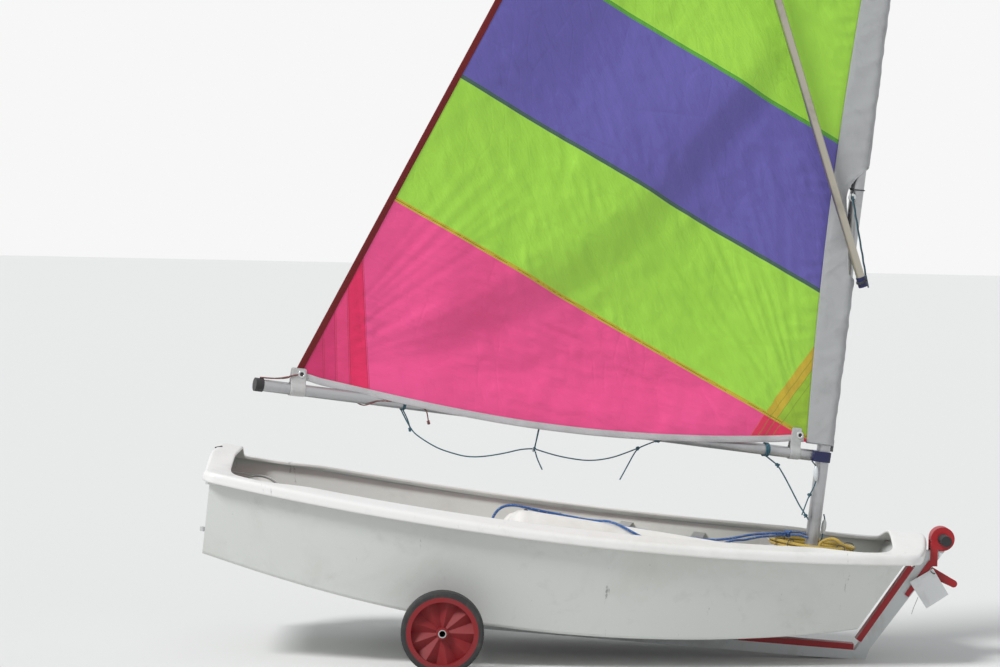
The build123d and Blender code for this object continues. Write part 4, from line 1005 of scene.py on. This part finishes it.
filler = mm(((14, -3), (14, 1.5), (8.5, 3), (8.5, 10), (7.5, 12.5), (0.1, 13)))
for hand, side, aft_top, fore_top in (("starboard", -1, -0.006, -0.046), ("port", 1, -0.075, -0.08)):
    inflated(f"bag_{hand}", f"side_bag_{hand}", (0.962, side * 0.34503, 0), (1.7945, side * 0.24432, 0),
             (aft_top, -0.315), (fore_top, -0.3))
    center, axis = (1.03, side * 0.277, aft_top - 0.02), (0, -side * 0.6, 0.8)
    lathe(f"bag_filler_{hand}", filler, center, axis, "black_plastic", BOAT)
inflated("bag_stern", "stern_bag", (0.15, -0.32, 0), (0.15, 0.32, 0), (-0.0505, -0.2395), (-0.0505, -0.2395))

# Lines of the rig; places are (aft, to starboard, up) in the rig's frame, in millimetres
thin = 0.0042
for name, material, diameter, places in (
    ("bridle_aft", "teal_line", thin, (
        (1478.7, 4, 268), (1440.1, 3, 209.6), (1401, 1, 186), (1342.9, 0, 160.4),
        (1295, 0, 150), (1242.4, 0, 141.8), (1185.5, 0, 147), (1109.5, 0, 166.4), (1052.2, 0, 186.2),
        (1015.1, 0, 188.7))),
    ("bridle_aft_twin", "teal_line", thin, ((1470, -6, 269), (1442, -3, 230), (1440.1, -1, 209.6))),
    ("bridle_up", "teal_line", thin, ((1011, 6, 260), (1013.5, 4, 225), (1015.1, 2, 188.7))),
    ("bridle_up_twin", "teal_line", thin, ((1005, -6, 260), (1009, -4, 220), (1015.1, -2, 188.7))),
    ("bridle_tail", "teal_line", thin, ((1015.1, 2, 188.7), (1008, 4, 168), (996, 4, 147), (981, 3, 125.3))),
    ("bridle_fore", "teal_line", thin, ((1015.1, 0, 188.7), (960, 0, 177), (890, 0, 169), (819.7, 0, 167.6),
        (750, 0, 183), (699, 0, 205), (659.9, 0, 224))),
    ("bridle_fore_up", "teal_line", thin, ((659.9, 2, 224), (630, 6, 242), (599, 12, 256))),
    ("bridle_fore_tail", "teal_line", thin, ((659.9, 2, 224), (672, 4, 208), (690, 4, 164), (710.3, 3, 117))),
    ("vang", "teal_line", 0.0048, ((209.3, 4, 243), (185, 6, 229), (160.7, 6, 215.4), (133, 6, 183),
        (102, 6, 142), (80, 6, 112), (62.5, 6, 88.6), (45, 14, 67), (31.1, 18, 48.2))),
    ("jaw_line", "dark_line", thin, ((46.6, 20, 241), (40, 26, 234), (34.6, 30, 227.1))),
    ("jaw_line_low", "teal_line", thin, ((27.6, 30, 178), (33, 30, 154), (44.6, 29, 130), (54, 29, 96),
        (62.4, 29, 62.1))),
    ("mast_toggle_line", "teal_line", thin, ((-29, 4, 70), (-33, 4, 60), (-35, 4, 53.2))),
    ("mast_toggle_tail", "teal_line", thin, ((-34.5, 4, 6.9), (-33, 6, -5), (-30, 8, -19.9))),
    ("pulley_strap", "black_plastic", 0.0034, ((29, 29, 1138), (39, 35, 1118), (29, 40, 1099), (19, 35, 1115),
        (27, 30, 1140))),
    ("outhaul", "red_line", thin, ((1818.3, 6, 347.2), (1842, 10, 342), (1880, 9, 329), (1920, 6, 323.5),
        (1950, 4, 323.5))),
    ("outhaul_back", "red_line", thin, ((1945, -6, 323.5), (1880, -9, 324), (1840, -10, 336),
        (1818.3, -6, 347.2))),
    ("outhaul_along", "red_line", 0.0038, ((1940, -19, 313), (1850, -20.5, 301), (1700, -20.5, 297),
        (1640, -19.5, 289), (1618, -10, 273), (1602, 6, 270), (1585, 19, 280), (1560, 21.5, 293),
        (1470, 22.5, 293), (1430, 24, 290), (1405, 24, 280), (1396, 23.5, 262), (1390.4, 23, 239.8))),
):
    line(name, mm(places), diameter, material)
for name, place, size, diameter, material, seed in (
    ("bridle_knot_0", (1440.1, 0, 209.6), 0.01, thin, "teal_line", 3),
    ("bridle_knot_1", (1015.1, 0, 188.7), 0.012, thin, "teal_line", 4),
    ("bridle_knot_2", (659.9, 0, 224), 0.012, thin, "teal_line", 5),
    ("vang_knot", (160.7, 4, 215.4), 0.013, 0.0048, "teal_line", 8),
    ("vang_foot_knot", (42, 14, 60), 0.011, 0.0048, "teal_line", 9),
    ("jaw_knot", (44.6, 30, 130), 0.012, thin, "teal_line", 12),
    ("mast_toggle_knot", (-30, 10, -18), 0.01, thin, "teal_line", 14),
    ("outhaul_knot", (1390.4, 23, 240), 0.011, 0.0042, "red_line", 17),
):
    knot(name, mm([place])[0], size, diameter, material, seed)


def boom_loop(name, a, diameter, turns):
    """A line wound round the boom."""
    radius = BOOM_RADIUS + diameter / 2 + 0.0004
    points = []
    for k in range(12 * turns + 1):
        turn = -pi / 2 + 2 * pi * k / 12
        lean = (k / (12 * turns) - 0.5) * diameter * 1.1 * turns
        points.append((a + lean, radius * cos(turn), boom_height(a) + radius * sin(turn)))
    line(name, points, diameter, "teal_line")


for number, a in enumerate((1.475, 1.0085, 0.596)):
    boom_loop(f"bridle_loop_{number}", a, thin, 2)
boom_loop("vang_loop", 0.2093, 0.0048, 3)
lathe("bridle_ring", mm(((5.5, -1.8), (7.2, 0), (5.5, 1.8), (3.8, 0), (5.5, -1.8))), (1.0175, 0.004, 0.185),
      (0.3, 1, 0.2), "stainless", around=20, close=False)
toggle("jaw_toggle", (0.0346, 0.03, 0.2271), (0.0276, 0.03, 0.178), 0.0082, 0.05, "clear_toggle")
toggle("mast_toggle", (-0.035, 0.004, 0.0532), (-0.0345, 0.004, 0.0069), 0.0085, 0.047, "pale_plastic")

# Sprit tackle: a pulley in the sleeve's opening and a line down the sprit's front to its heel
sprit_low, sprit_high = Vector((-0.028, 0.05, 0.86)), Vector((0.872, 0.021, 2.711))
sprit_way = (sprit_high - sprit_low).normalized()
pulley = Vector((0.029, 0.0315, 1.114))
lathe("sprit_pulley", mm(((4, -6), (12.5, -4.5), (13.5, 0), (12.5, 4.5), (4, 6))), pulley, (0.15, 1, 0.1),
      "pale_plastic", around=28)
shares = np.linspace(0, 1, 15)
mast_turn = [(0.025 * cos(2 * pi * s), 0.025 * sin(2 * pi * s), 1.14 + 0.0044 * s) for s in shares]
line("pulley_loop", mast_turn, 0.004, "dark_line")
heel_front = Vector((-0.048, 0.048, 0.868))
tackle = []
for k in range(13):
    along = (pulley + Vector((0.004, 0.01, 0.004))).lerp(heel_front, k / 12)
    tackle.append(along + Vector((0.0012 * sin(9 * k), 0.0012 * cos(9 * k), 0)))
line("sprit_tackle", tackle, 0.0046, "dark_line")
line("sprit_tackle_twin", [place + Vector((0.004, 0.0034, 0)) for place in tackle], 0.004, "teal_line")
tail = [heel_front + Vector(step) for step in mm(((0, 0, 0), (-6, 4, -22), (-12, 6, -40)))]
line("sprit_tackle_end", tail, 0.0048, "teal_line")
athwart = Vector((0, 1, 0))
upright = sprit_way.cross(athwart).normalized()
heel_loop = []
for k in range(25):
    turn = 2 * pi * k / 12
    out = (athwart * cos(turn) + upright * sin(turn)) * 0.0182
    heel_loop.append(sprit_low - sprit_way * (0.012 + 0.004 * k / 12) + out)
line("sprit_heel_loop", heel_loop, 0.004, "dark_line")

# Cleat for the outhaul on the boom's side
CLEAT_X = 1.431
cleat = []
for share, width, height in (
    (-1, 3, 6), (-0.72, 5, 8.5), (-0.4, 7, 6), (-0.32, 7, 0), (0.32, 7, 0), (0.4, 7, 6), (0.72, 5, 8.5),
    (1, 3, 6),
):
    swell = 0.0042 * (1 if abs(share) > 0.35 else 1.4)
    for k in range(10):
        turn = 2 * pi * k / 10
        cleat.append((CLEAT_X + 0.022 * share, BOOM_RADIUS + 0.0045 + height / 1000 + swell * sin(turn),
                      boom_height(CLEAT_X) + 0.002 + width / 1000 * cos(turn)))
smoothed(put("boom_cleat", cleat, grid_faces(8, 10, close_columns=True) + caps(8, 10), "black_plastic"))

# Finishes of the carried-over nodes
for material, names in (
    ("hull_white", "hull"), ("inside_white_painted_light", "mast_thwart mast_step midship_frame daggerboard_case"),
    ("stainless", "gudgeon_upper gudgeon_lower"), ("axle_alloy", "axle"),
    ("black_rubber", "axle_pads handle_grip"),
    ("trolley_white", "trolley_beam trolley_elbow trolley_upright"),
    ("red_plastic", "beam_pad upright_pad handle_head tow_lug"), ("spar_alloy", "mast boom"),
    ("sprit_alloy", "sprit"), ("black_plastic", "mast_cap boom_end_cap sprit_tip"),
    ("navy_plastic", "boom_jaw sprit_heel"),
    ("wheel_red_painted_shade", "wheel_hub_starboard wheel_hub_port"), ("tyre_rubber", "tyre_starboard tyre_port"),
    ("webbing_solid", "side_bag_straps_starboard side_bag_straps_port stern_bag_straps"),
    ("dark_webbing", "toe_strap"),
):
    for node in names.split():
        for slot in nodes[node].material_slots:
            slot.material = FINISHES[material]

# Floor and backdrop: pale to the camera, and they keep the object's shadow
floor_mesh = bpy.data.meshes.new("floor")
floor_mesh.from_pydata([(-60, -60, 0), (60, -60, 0), (60, 90, 0), (-60, 90, 0)], [], [(0, 1, 2, 3)])
Finish("floor", (0.78, 0.78, 0.77), 0.9)
floor_mesh.materials.append(FINISHES["floor"])
floor = linked("floor", floor_mesh)

world = bpy.data.worlds.new("studio")
bpy.context.scene.world = world
world.use_nodes = True
tree = world.node_tree
light = give(tree.nodes["Background"], Color=(0.94, 0.97, 1.0, 1), Strength=0.48)
shown = give(tree.nodes.new("ShaderNodeBackground"), Color=(0.93, 0.93, 0.93, 1), Strength=1.0)
rays = tree.nodes.new("ShaderNodeLightPath")
seen = rays.outputs["Is Camera Ray"]
for kind in ("Is Glossy Ray", "Is Transmission Ray"):
    either = tree.nodes.new("ShaderNodeMath")
    either.operation = "MAXIMUM"
    tree.links.new(seen, either.inputs[0])
    tree.links.new(rays.outputs[kind], either.inputs[1])
    seen = either.outputs[0]
mix = tree.nodes.new("ShaderNodeMixShader")
for number, source in enumerate((seen, light.outputs[0], shown.outputs[0])):
    tree.links.new(source, mix.inputs[number])
tree.links.new(mix.outputs[0], tree.nodes["World Output"].inputs["Surface"])

sun = bpy.data.lights.new("key", "SUN")
sun.energy = 2.5
sun.angle = radians(16)
key = linked("key", sun)
key.rotation_mode = "QUATERNION"
key.rotation_quaternion = Vector((0.55, 0.52, -0.74)).to_track_quat("-Z", "Y")

bpy.context.view_layer.update()
